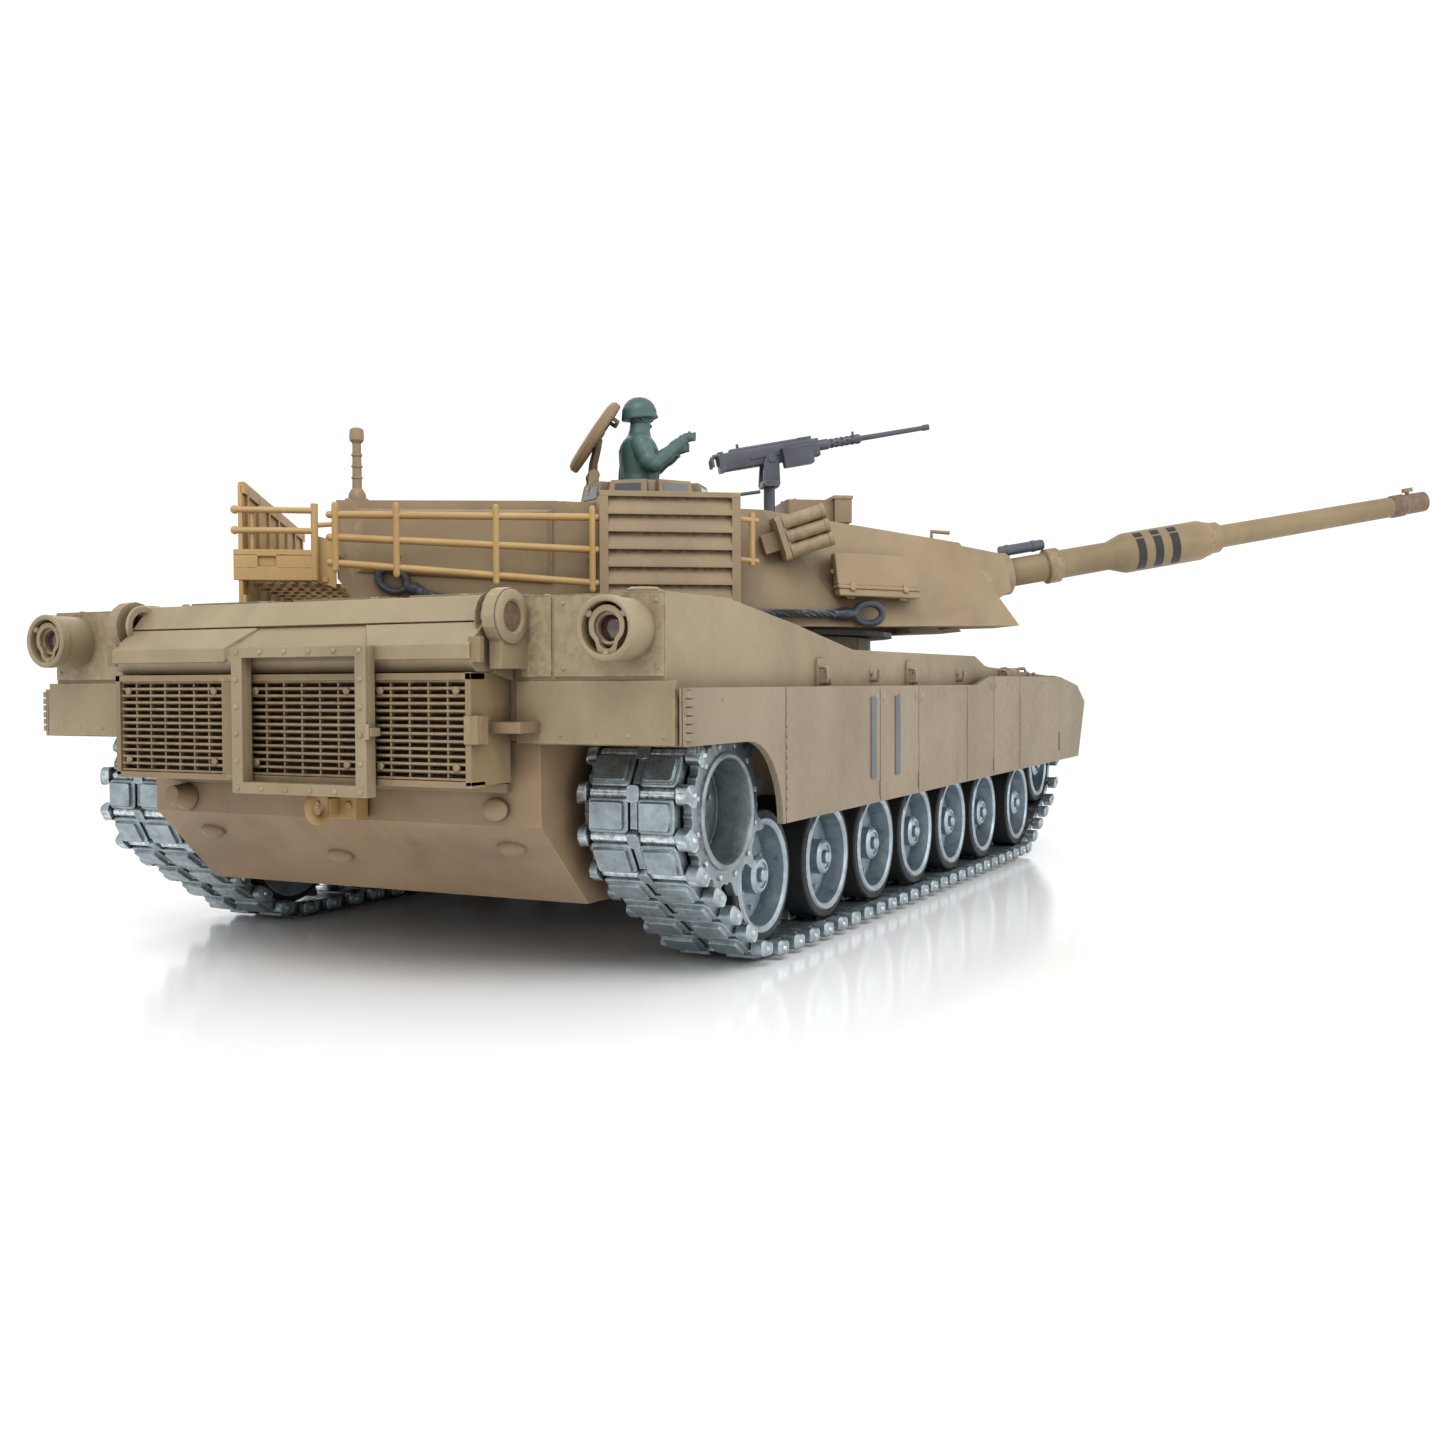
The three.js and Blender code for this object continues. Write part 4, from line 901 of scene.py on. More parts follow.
for word, side in SIDES:
    def Y(v, side=side):
        return side * v
    # louvred stowage box
    s = Shape()
    s.box(-50.4, -1.8, Y(92.4), Y(102.4), 108.3, 147)
    for x0, x1 in ((-50.7, -47.6), (-4.6, -1.5)):
        s.box(x0, x1, Y(92.4), Y(104.4), 108, 147.3)
    s.box(-50.7, -1.5, Y(92.4), Y(104.5), 145.4, 147.3)
    s.box(-50.7, -1.5, Y(92.4), Y(104.5), 108, 109.6)
    for k in range(6):
        z = 109.2 + 6.03 * k
        s.loft([[(x, Y(101.8), z), (x, Y(104.6), z - 0.1), (x, Y(104.6), z + 0.9), (x, Y(102.2), z + 6.6),
                 (x, Y(101.8), z + 6.6)]
                for x in (-47.8, -4.4)])
    turret_piece(f"louvre_panels_{word}", s, SAND_TURRET, bevel=0.18, replaces=[f"louvre_box_{word}"])

    # side rails on posts, with a short one in front of the box
    r = Shape()
    for z0, z1 in ((137.8, 138.2), (130.3, 127), (121.8, 115.6)):
        r.tube([(-140.5, Y(102.8), z0), (-51.2, Y(102.8), z1)], 1.25, n=14)
        for x, z in ((-140.5, z0), (-51.2, z1)):
            r.ball((x, Y(102.8), z), 1.25, n=6)
    for x in (-138.6, -118.7, -85.7, -53):
        low = 120.2 + (113.8 - 120.2) * (x + 140) / 88.5
        wall = 92.5 - (8 * ((-110 - x) / 30) if x < -110 else 0)
        r.tube([(x, Y(103.4), low - 0.6), (x, Y(103.4), 141)], 1.15, n=10)
        r.tube([(x, Y(wall), 125), (x, Y(103), 125)], 0.9, n=10)
        for z in (low - 0.6, 141):
            r.ball((x, Y(103.4), z), 1.15, n=5)
    for z in (138.6, 124.4):
        r.tube([(-1.6, Y(101.4), z), (5.6, Y(98.5), z - 0.4)], 1.0, n=10)
    r.tube([(3.4, Y(99.4), 122.6), (3.4, Y(99.4), 141)], 1.1, n=10)
    turret_piece(f"rails_{word}", r, RAIL, slot="rail_sand", bevel=0, replaces=[f"side_rail_{word}"])

    # smoke launchers
    s = Shape()
    m = Matrix.Translation((15.8, Y(88.8), 132.6)) @ Matrix.Rotation(math.radians(-18), 4, "Y")
    s.loft([[(x, Y(w), z) for w, z in rounded(-2.7, 8.2, -8, 8, 1.6)] for x in (-1.5, 0.7)], at=m)
    s.loft([[(x, Y(w), z) for w, z in rounded(-1.9, 7.3, -7.2, 7.2, 1.6)] for x in (0.5, 1.7)], at=m)
    for row in (0, 5.4):
        for z in (-5.1, 0, 5.1):
            a, b = Vector((1.2, Y(row), z)), Vector((17, Y(row + 1.5), z))
            q = (b - a).to_track_quat("Z", "Y").to_matrix().to_4x4()
            tube_at = m @ Matrix.Translation(a) @ q
            s.lathe([(2.75, 0), (2.75, 1.6), (2.5, 2.0), (2.5, 14.2), (2.7, 14.4), (2.7, 15.9), (2.1, 15.9),
                     (2.0, 12.0),
                     (2.0, 0)], at=tube_at, n=24)
            s.lathe([(0, 13.2), (1.95, 13.2), (1.95, 14.0), (0, 14.3)], at=tube_at, n=20, mat=1)
    for w, z in ((-1.9, -7), (7.4, -7), (-1.9, 7), (7.4, 7)):
        s.rivet(m @ Vector((-1.4, Y(w), z)), (-1, 0, -0.3), 0.7, 0.4)
    s.box(-7, 0.2, Y(-2.4), Y(2.2), -3.5, 3.5, at=m)
    turret_piece(f"launchers_{word}", s, [SAND_TURRET, BLACK], bevel=0.15,
                 replaces=[f"smoke_launcher_{word}"])

    # cheek stowage box: a rounded body and a lid with clips
    def wall(x, z):
        low = 86 + (51 - 86) * (x - 45) / 76
        high = 84 + (48 - 84) * (x - 10) / 87
        top = 144 + (136.5 - 144) * (x - 10) / 87
        return low + (high - low) * (z - 101.6) / (top - 101.6)
    s = Shape()

    def slab(x0, x1, z0, z1, inner, d0, d1):
        s.convex([(x, Y(wall(x, z) + d), z) for x in (x0, x1) for z, deep in ((z0, d0), (z1, d1))
                  for d in (inner, deep)])
    slab(36.2, 71.4, 112.4, 115.4, 2.4, 9.9, 9.8)
    slab(35.6, 72, 115, 116.6, 2.4, 10.5, 10.4)
    slab(36.0, 71.6, 116.3, 128.6, 2.4, 10.1, 8.8)
    for x in (42, 65):
        slab(x - 1.2, x + 1.2, 114.2, 117.4, 8, 10.9, 10.8)
        slab(x - 2, x + 2, 111.6, 113.8, 2.4, 6, 6.6)
    slab(34.6, 36.6, 120.5, 122.5, 4, 6.5, 6.3)
    turret_piece(f"cheek_stowage_{word}", s, SAND_TURRET, bevel=0.9, segments=4, angle=35,
                 replaces=[f"cheek_box_{word}"])

# rear basket
b = Shape()
BACK, FRONT, HALF_Y = -170, -140.3, 86
b.loft([[(x, y, z) for y, z in rounded(-HALF_Y, HALF_Y, 108, 150.5, 1.5)] for x in (-172.4, -171.0)])
b.box(-171.6, BACK, -HALF_Y, HALF_Y, 146.5, 150.5)
b.box(-171.6, BACK, -HALF_Y, HALF_Y, 108, 112)
for y in range(-78, 79, 26):
    b.box(-171.6, BACK, y - 1.5, y + 1.5, 110, 149)
for side in (-1, 1):
    def Y(v, side=side):
        return side * v
    b.prism([(-174, 117), (-147, 117), (-147, 127.5), (-174, 127.5)], Y(84.6), Y(85.5))
    for x0, x1, z0, z1 in ((-174, -147, 117, 121.6), (-174, -147, 125.2, 127.5), (-174, -166, 121, 126),
                           (-160, -147, 121, 126)):
        b.box(x0, x1, Y(85.2), Y(86.4), z0, z1)
    for z in (134, 141):
        b.tube([(-173.5, Y(85.6), z), (-146.6, Y(85.6), z)], 1.1, n=12)
        b.ball((-173.5, Y(85.6), z), 1.5, n=6)
    b.tube([(-147.2, Y(85.6), 117), (-147.2, Y(85.6), 143.4)], 1.25, n=12)
    b.tube([(-168, Y(84.9), 127), (-168, Y(84.9), 141)], 0.8, n=8)
    b.prism([(-148.4, 117.2), (FRONT, 114.6), (FRONT, 131), (-148.4, 133)], Y(83.2), Y(81.6))
    b.tube([(-147, Y(85.2), 136), (FRONT + 1, Y(82), 137)], 0.9, n=8)
for k in range(7):
    x = BACK + 1.5 + 3.9 * k
    b.loft([[(x, y, 116.6), (x + 2, y, 116.6), (x + 2, y, 118.4), (x, y, 118.4)]
            for y in (-HALF_Y + 2, HALF_Y - 2)])
for y in range(-70, 71, 20):
    b.box(BACK, FRONT, y - 0.9, y + 0.9, 115.4, 117)
turret_piece("stowage_basket", b, RAIL, slot="rail_sand", bevel=0.18, replaces=["bustle_basket"])

# roof, bustle plates, hatches
s = Shape()


def roof_z(x):
    return height_at(((-140, 145), (-62, 145), (10, 144), (97, 136.5)), x)


def on_roof(points, h, drop=0.5):
    """A raised plate on the sloping roof, from (x, y) corners."""
    s.convex([(x, y, roof_z(x) + z) for x, y in points for z in (-drop, h)])


on_roof([(-138, -80), (-64, -88), (-64, 88), (-138, 80)], 0.5)
for y0, y1 in ((-76, -40), (-36, 0), (4, 40), (44, 76)):
    on_roof([(-132, y0), (-104, y0), (-104, y1), (-132, y1)], 1.1)
for y in (-60, -20, 20, 60):
    on_roof([(-98, y - 14), (-72, y - 14), (-72, y + 14), (-98, y + 14)], 1.0)
for side in (-1, 1):
    for x, y0, y1 in ((-138, 79, 84), (-66, 82, 90)):
        s.rivet((x + 2, side * (y0 - 1), roof_z(x) + 0.5), (0, 0, 1), 0.9, 0.5)
    s.convex([(x, side * y, z) for x, y in ((-134, 84.2), (-132, 84.9), (-66, 91.6))
              for z in (120 if x < -100 else 116, 142)
              ] + [(x, side * (y + 1.0), z) for x, y in ((-131, 84.8), (-68, 91.6))
                   for z in (121 if x < -100 else 117, 141)])
    on_roof([(60, side * 22), (92, side * 24), (78, side * 48), (52, side * 60)], 0.35)
    s.tube([(88, side * 40, roof_z(88) - 0.5), (88, side * 40, roof_z(88) + 4.4),
            (96, side * 38, roof_z(96) + 4.8)], 0.8)
s.tube([(-66, 60, 145), (-66, 60, 149.5), (-66, 76, 149.5), (-66, 76, 145)], 0.9)
s.lathe([(0, 0), (5, 0), (5, 2.2), (4, 3.2), (0, 3.2)], at=Matrix.Translation((-118, 70, 145.3)), n=24)
s.lathe([(0, 0), (2.2, 0), (1.6, 6), (1.1, 14), (0, 14)], at=Matrix.Translation((-128, 72, 145.3)), n=16)
on_roof([(-60, 8), (-2, 8), (-2, 80), (-60, 80)], 0.55)
for y in (20, 70):
    for x in (-56, -6):
        s.rivet((x, y, roof_z(x) + 0.5), (0, 0, 1), 0.9, 0.5, 6)
s.loft([[(x, y, z) for x, y in rounded(-26, -14, 26, 62, 2)]
        for z in (roof_z(-20) + 0.2, roof_z(-20) + 0.9)])
turret_piece("roof_plates", s, SAND_TURRET, bevel=0.3)

# the gunner's sight: a box with doors and a hood
s = Shape()
s.loft([[(x, y, z) for x, y in rounded(26.6, 47, -49.7, -22.3, 1.5)] for z in (143.6, 152.4)])
s.box(45.2, 52, -52, -20, 143.4, 153.7)
s.box(44.6, 52.4, -52.4, -19.6, 152.6, 153.9)
for y0, y1 in ((-50, -37), (-35, -22)):
    s.box(51.6, 52.5, y0, y1, 144.6, 151.8, mat=0)
    s.box(52.3, 52.6, y0 + 2, y1 - 2, 146, 150.4, mat=1)
for y in (-48, -24):
    for x in (30, 43):
        s.rivet((x, y, 152.4), (0, 0, 1), 0.9, 0.5, 6)
s.box(27, 29, -36.8, -35.2, 144, 153.2)
turret_piece("gunner_sight", s, [SAND_TURRET, GLASS], bevel=0.25, replaces=["sight_housing"])

# cupola ring with vision blocks
s = Shape()
CUPOLA = (-28, -45)
CU = Matrix.Translation((*CUPOLA, 0))
s.lathe([(15.4, 145.3), (25, 145.3), (25, 147.2), (24.2, 148.4), (21.6, 149.2), (20.6, 155.4),
         (19.8, 156.7), (18.6, 157),
         (16.2, 157), (15.4, 156.2)], at=CU, n=64)
for k in range(8):
    a = Matrix.Rotation(2 * math.pi * (k + 0.5) / 8, 4, "Z")
    s.convex([(x, y, z) for x, y, z in ((20, -7.2, 148.6), (20, 7.2, 148.6), (24.2, -7.6, 148.6),
                                        (24.2, 7.6, 148.6),
                                        (19.6, -6.6, 156.6), (19.6, 6.6, 156.6), (22.6, -6.8, 156.6),
                                        (22.6, 6.8, 156.6))],
             at=CU @ a)
    s.convex([(23.3, -5.4, 150.2), (23.3, 5.4, 150.2), (24.15, -5.4, 150.2), (24.15, 5.4, 150.2),
              (22.4, -5, 155.2), (22.4, 5, 155.2),
              (23.15, -5, 155.2), (23.15, 5, 155.2)], at=CU @ a, mat=1)
for k in range(16):
    a = 2 * math.pi * k / 16
    s.rivet((CUPOLA[0] + 17.3 * math.cos(a), CUPOLA[1] + 17.3 * math.sin(a), 156.9), (0, 0, 1), 0.55, 0.35,
            8)
s.tube([(-5.5, -58, 150.5), (5, -60, 152.3), (14, -60.5, 153.6)], 0.7, mat=2)
s.ball((-5.5, -58, 150.5), 1.6, n=8, mat=2)
turret_piece("cupola_ring", s, [SAND_TURRET, GLASS, SLATE], bevel=0.2, replaces=["commander_cupola"])

# commander's lid, standing open
s = Shape()
LID = Matrix.Translation((-47, -45, 175)) @ Matrix.Rotation(math.radians(33.7 - 90), 4, "Y")
s.lathe([(0, 2.6), (8, 2.6), (12.6, 2.9), (14.6, 2.3), (15.5, 1.2), (15.5, -0.6), (14.9, -1.4),
         (13.6, -1.4), (13.4, 0.4),
         (0, 0.4)], at=LID, n=56)
s.lathe([(9.6, -1.0), (10.6, -1.0), (10.6, 0.6), (9.6, 0.6)], at=LID, n=40)
s.lathe([(0, -2.0), (3.6, -2.0), (4.4, -1.2), (4.4, 0.6), (0, 0.6)], at=LID, n=28)
for k in range(6):
    s.box(4, 13.8, -0.6, 0.6, -0.9, 0.6, at=LID @ Matrix.Rotation(k * math.pi / 3 + 0.3, 4, "Z"))
s.tube([(9, -5, -0.4), (9, -5, -3.6), (9, 5, -3.6), (9, 5, -0.4)], 0.8, at=LID)
s.tube([(-48.3, -45, 160.2), (-48.0, -45, 165), (-46.6, -45, 170.5), (-46.2, -45, 174.6)],
       [1.9, 1.7, 1.6, 1.9], n=12)
s.rod((-48.3, -50, 160.2), (-48.3, -40, 160.2), 1.7, n=20)
for y in (-50.6, -40.6):
    s.rod((-48.3, y, 160.2), (-48.3, y + 1.2, 160.2), 2.3, n=20)
turret_piece("commander_lid", s, SAND_BROWN, body="commander_hatch", bevel=0.15,
             replaces=["commander_hatch"])
s = Shape()
for y in (-52.4, -39):
    s.prism([(-51, 152), (-46, 152), (-46.6, 161), (-48.3, 162.2), (-50, 161)], y, y + 1.4)
turret_piece("lid_hinge_ears", s, SAND_TURRET, bevel=0.2)

# loader's lid, shut
s = Shape()
LO = Matrix.Translation((-26, 44, 145.6))
s.lathe([(0, 3.0), (9, 3.0), (15.4, 2.6), (17.4, 1.8), (18, 0.9), (18, 0.1), (0, 0.1)], at=LO, n=56)
s.lathe([(0, 3.6), (4.2, 3.6), (5, 2.6), (0, 2.6)], at=LO, n=28)
s.tube([(8, -4, 2.4), (8, -4, 5.2), (8, 4, 5.2), (8, 4, 2.4)], 0.75, at=LO)
s.box(-21.8, -14, -4.6, 4.6, 0.2, 3.2, at=LO)
s.rod((-47, 38.6, 147.6), (-47, 49.4, 147.6), 1.6, n=18)
turret_piece("loader_lid", s, SAND_TURRET, body="loader_hatch", bevel=0.2, replaces=["loader_hatch"])

# wind mast
s = Shape()
MA = Matrix.Translation((-134, -70, 145.3))
s.loft([[(x, y, z) for x, y in rounded(-4, 4, -4, 4, 1.2)] for z in (0, 1.6)], at=MA)
s.lathe([(0, 1.4), (3.2, 1.4), (3.0, 3.6), (2.1, 5.2), (1.7, 5.6), (1.5, 21.4), (1.8, 21.8), (2.5, 22.6),
         (2.6, 24), (2.4, 26.4),
         (1.6, 27), (0, 27)], at=MA, n=28)
for z in (9, 13, 17):
    s.lathe([(0, z), (1.95, z), (1.95, z + 0.8), (0, z + 0.8)], at=MA, n=24)
turret_piece("mast", s, SAND_TURRET, bevel=0.1, replaces=["wind_mast"])

# tow rope
s = Shape()
ROUTE = ((-116, -88.3, 115), (-108, -90.4, 112), (-90, -92.6, 108.5), (-60, -94.2, 106.2),
         (-12, -94.2, 106), (10, -92.2, 106),
         (42, -88, 106.1))


def spline(points, steps=10):
    out, pts = [], [Vector(p) for p in points]
    for i in range(len(pts) - 1):
        p0, p1, p2, p3 = pts[max(i - 1, 0)], pts[i], pts[i + 1], pts[min(i + 2, len(pts) - 1)]
        for k in range(steps):
            t = k / steps
            out.append(0.5 * (2 * p1 + (p2 - p0) * t + (2 * p0 - 5 * p1 + 4 * p2 - p3) * t * t
                              + (3 * p1 - p0 - 3 * p2 + p3) * t ** 3))
    return out + [pts[-1]]


line = spline(ROUTE, 26)
for strand in range(5):  # twisted strands
    path = []
    for i, p in enumerate(line):
        d = (line[min(i + 1, len(line) - 1)] - line[max(i - 1, 0)]).normalized()
        u = d.cross(Vector((0, 0, 1))).normalized()
        w = d.cross(u)
        a = 2 * math.pi * (strand / 5 + i / 9)
        path.append(p + (u * math.cos(a) + w * math.sin(a)) * 0.85)
    s.tube(path, 0.72, n=6)
for c, end in (((-121, -87.6, 117.2), line[0]), ((49, -87.6, 106.3), line[-1])):
    c, e = Vector(c), Vector(end)
    d = (e - c).normalized()
    w = Vector((0, 1, 0))
    u = d.cross(w).normalized()
    loop = [c + d * 5.2 * math.cos(t) * 1.0 + u * 3.7 * math.sin(t)
            for t in (2 * math.pi * k / 28 for k in range(28))]
    s.tube(loop, 1.35, n=10, closed=True)
    far = e + (e - c).normalized() * 7
    s.tube([c + d * 4.6, c + d * 6.5, c + d * 8, e + d * 3, far], [1.6, 2.0, 2.6, 2.5, 1.7], n=14)
turret_piece("tow_rope", s, CABLE, slot="black_plastic", bevel=0, replaces=["tow_cable"])

# ---- gun -------------------------------------------------------------------------------
s = Shape()
MUZZLE = 258
BORE = Matrix.Rotation(math.pi / 2, 4, "Y")
s.lathe([(0, 21.5), (6.1, 21.5), (6.1, 72.5), (6.5, 73), (7.3, 73.6), (7.4, 75.0), (6.9, 75.5), (6.9, 76.2),
         (7.4, 76.7), (7.4, 78.4),
         (6.9, 79), (6.4, 79.6), (6.2, 80.5), (6.1, 102.5), (6.4, 103.4), (8.5, 109.5), (8.75, 110.5),
         (8.75, 145.8), (8.4, 146.8), (6.9, 151), (6.8, 154.6), (6.2, 155.4), (5.2, 156), (5.0, 158),
         (4.5, 244), (4.8, 244.6), (4.8, 247.6), (4.4, 248.2), (4.3, 257.3), (4.0, MUZZLE), (2.9, MUZZLE),
         (2.7, 257.2),
         (2.7, 236), (0, 236)], at=BORE, n=56)
s.tube([(250.5, 0, 3.8), (250.5, 0, 6.2)], 0.9, n=10)
s.loft([[(x, y, z) for x, y in rounded(248.4, 253.2, -1.1, 1.1, 0.6)] for z in (5.4, 7.2)])
s.lathe([(4.7, 241), (5.0, 241.6), (5.05, 247), (4.6, 247.8), (4.5, 258), (4.2, 258.2), (4.1, 250),
         (4.2, 241)], at=BORE, n=56, mat=2)
s.lathe([(6.2, 72.6), (7.55, 73.4), (7.55, 78.8), (6.5, 80), (6.2, 79)], at=BORE, n=56, mat=1)
s.lathe([(6.2, 147.6), (7.9, 148.2), (7.4, 150.4), (6.6, 151.6)], at=BORE, n=56, mat=1)
turret_piece("gun_tube", s, [BARREL, SAND_BROWN, DARK_SAND], body="gun", at=GUN, bevel=0, smooth=50,
             replaces=["gun_barrel"])
s = Shape()
for x in (113.5, 121.5, 129.5):
    for middle in (0, 180):
        for a0, a1 in ((-62, 34), (42, 60)):
            s.loft([[(u, w * math.cos(a), w * math.sin(a)) for u,
                     w in ((x, 8.4), (x + 3.6, 8.4), (x + 3.6, 9.0), (x, 9.0))]
                    for a in (math.radians(middle + (t if middle == 0 else -t)) for t in
                              (a0 + (a1 - a0) * k / 12 for k in range(13)))])
turret_piece("gun_bands", s, BLACK, slot="black_plastic", body="gun", at=GUN, bevel=0, smooth=50)

s = Shape()
s.lathe([(0, 54.2), (2.3, 54.2), (2.3, 73.6), (2.0, 74.4), (1.3, 74.6), (1.2, 73.6), (0, 73.6)],
        at=Matrix.Translation((0, 1, 9.8)) @ BORE, n=28)
for x in (57, 69):
    s.lathe([(0, x), (2.55, x), (2.55, x + 1.4), (0, x + 1.4)], at=Matrix.Translation((0, 1, 9.8)) @ BORE,
            n=24)
turret_piece("coaxial_tube", s, SLATE, slot="gun_slate", body="gun", at=GUN, bevel=0,
             replaces=["sight_tube"])

s = Shape()


def mantlet_plate(side):
    """A five-sided riveted plate on the shield's slanted side."""
    a, b, c = Vector((38, side * 17, -12)), Vector((53, side * 9, -8)), Vector((23, side * 17, 17.5))
    u = (b - a).normalized()
    n = u.cross(c - a).normalized()
    if n.y * side < 0:
        n.negate()
    w = n.cross(u)
    if w.z < 0:
        w.negate()
    centre = (a + b + c) / 3 + n * 0.2
    corner = [centre + u * x + w * z for x, z in ((-4.5, -8), (2.6, -7), (5.6, -1), (-0.5, 6.5),
            (-6.4, 8.5), (-8, -2))]
    s.convex(corner + [p + n * 0.9 for p in corner])
    for x, z in ((-4.1, -6.6), (1.9, -5.8), (4.2, -1), (-0.8, 5), (-5.6, 6.6), (-6.7, -1.8)):
        s.rivet(centre + n * 0.9 + u * x + w * z, n, 0.6, 0.4)


for side in (-1, 1):
    mantlet_plate(side)
s.lathe([(6.8, 52), (9.2, 52), (9.2, 55.4), (8.4, 56.2), (6.8, 56.2)], at=BORE, n=40)
s.box(14, 22, -11, 11, 16.8, 19.0)
s.box(8, 12, -9, -6, 16.8, 20.5)
for y in (-14, 14):
    for x in (6, 20):
        s.rivet((x, y, 17.6), (0, 0, 1), 0.9, 0.5, 6)
turret_piece("mantlet_fittings", s, SAND_TURRET, body="gun", at=GUN, bevel=0.2)

# ---- machine gun ---------------------------------------------------------------------------
s = Shape()
s.lathe([(0, 0), (5, 0), (5, 1.2), (3.2, 2), (2.2, 3), (2.2, 12.4), (0, 12.4)],
        at=Matrix.Translation((20, -48, 144.7)), n=28)
s.loft([[(20 + x, -48 + y, z) for x, y in rounded(-3.2, 3.2, -5.2, 5.2, 1)] for z in (156.8, 159)])
for y in (-5.2, 3.8):
    s.prism([(16.6, 157.6), (23.4, 157.6), (23, 166), (21.6, 169), (18.4, 169), (17, 166)], -48 + y,
            -48 + y + 1.4)
    s.rod((20, -48 + y - (0.6 if y < 0 else -1.2), 167.4), (20, -48 + y + (0.2 if y < 0 else 2.0), 167.4),
          1.5, n=14)
turret_piece("mg_mount", s, SLATE, slot="gun_slate", body="mg_cradle", bevel=0.15, replaces=["mg_cradle"])

s = Shape()
s.loft([[(x, y, z) for y, z in rounded(-2.9, 2.9, -1.5, 5.4, 0.7, 3)] for x in (-18.6, 20)])
s.loft([[(x, y, z) for y, z in rounded(-2.6, 2.6, 4.6, 6.5, 0.7, 3)] for x in (-15, 12)])
s.box(-20, -18, -3.1, 3.1, -1.7, 6)
s.box(12, 17.5, -2.2, 2.2, 5.2, 6.6)
s.box(-8, 6, -3.25, -2.7, 1.2, 2.4)
s.box(-8, 6, 2.7, 3.25, 1.2, 2.4)
s.tube([(-19.4, -2.4, 4.8), (-21.8, -2.6, 4.8), (-22.6, -2.7, 3.4), (-22.6, -2.7, 0.6)], 0.7, n=8)
s.tube([(-19.4, 2.4, 4.8), (-21.8, 2.6, 4.8), (-22.6, 2.7, 3.4), (-22.6, 2.7, 0.6)], 0.7, n=8)
s.box(-20.8, -19.4, -0.9, 0.9, 1, 4)
s.lathe([(0, 19.6), (2.1, 19.6), (2.1, 24), (1.7, 24.6), (1.7, 35.2), (1.9, 35.6), (1.9, 37), (1.3, 37.6),
         (1.05, 38), (0.95, 63),
         (1.2, 63.4), (1.2, 65.8), (0.6, 66), (0.5, 64), (0, 64)],
        at=Matrix.Translation((0, 0, 2.6)) @ BORE, n=28)
for k in range(5):  # cooling jacket
    for j in range(6):
        a = 2 * math.pi * (j + 0.5 * (k % 2)) / 6
        s.rivet((25.6 + 2.1 * k, 1.7 * math.sin(a), 2.6 + 1.7 * math.cos(a)), (0, math.sin(a), math.cos(a)),
                0.55, 0.22, 8, mat=1)
s.box(34.4, 35.2, -0.4, 0.4, 4, 5.8)
s.box(-12, -11, -0.5, 0.5, 6.2, 8.2)
s.loft([[(x, y, z) for x, z in rounded(4.2, 15.8, -4.5, 2.6, 0.7, 3)] for y in (-8.4, -3.4)])
s.box(3.9, 16.1, -8.6, -3.3, 2.2, 3.1)
s.box(8.4, 11.6, -3.6, -2.6, 1.5, 4.2)
s.rod((0, -3.4, 0), (0, 3.4, 0), 1.3, n=14)
turret_piece("mg_receiver", s, [SLATE, BLACK], slot="gun_slate", body="mg_gun", at=MGUN, bevel=0.15,
             replaces=["mg_gun"])


# ---- the commander: lofted torso, arms, a plain face and a helmet -----------------------------
FIGURE = (-30.5, -45)


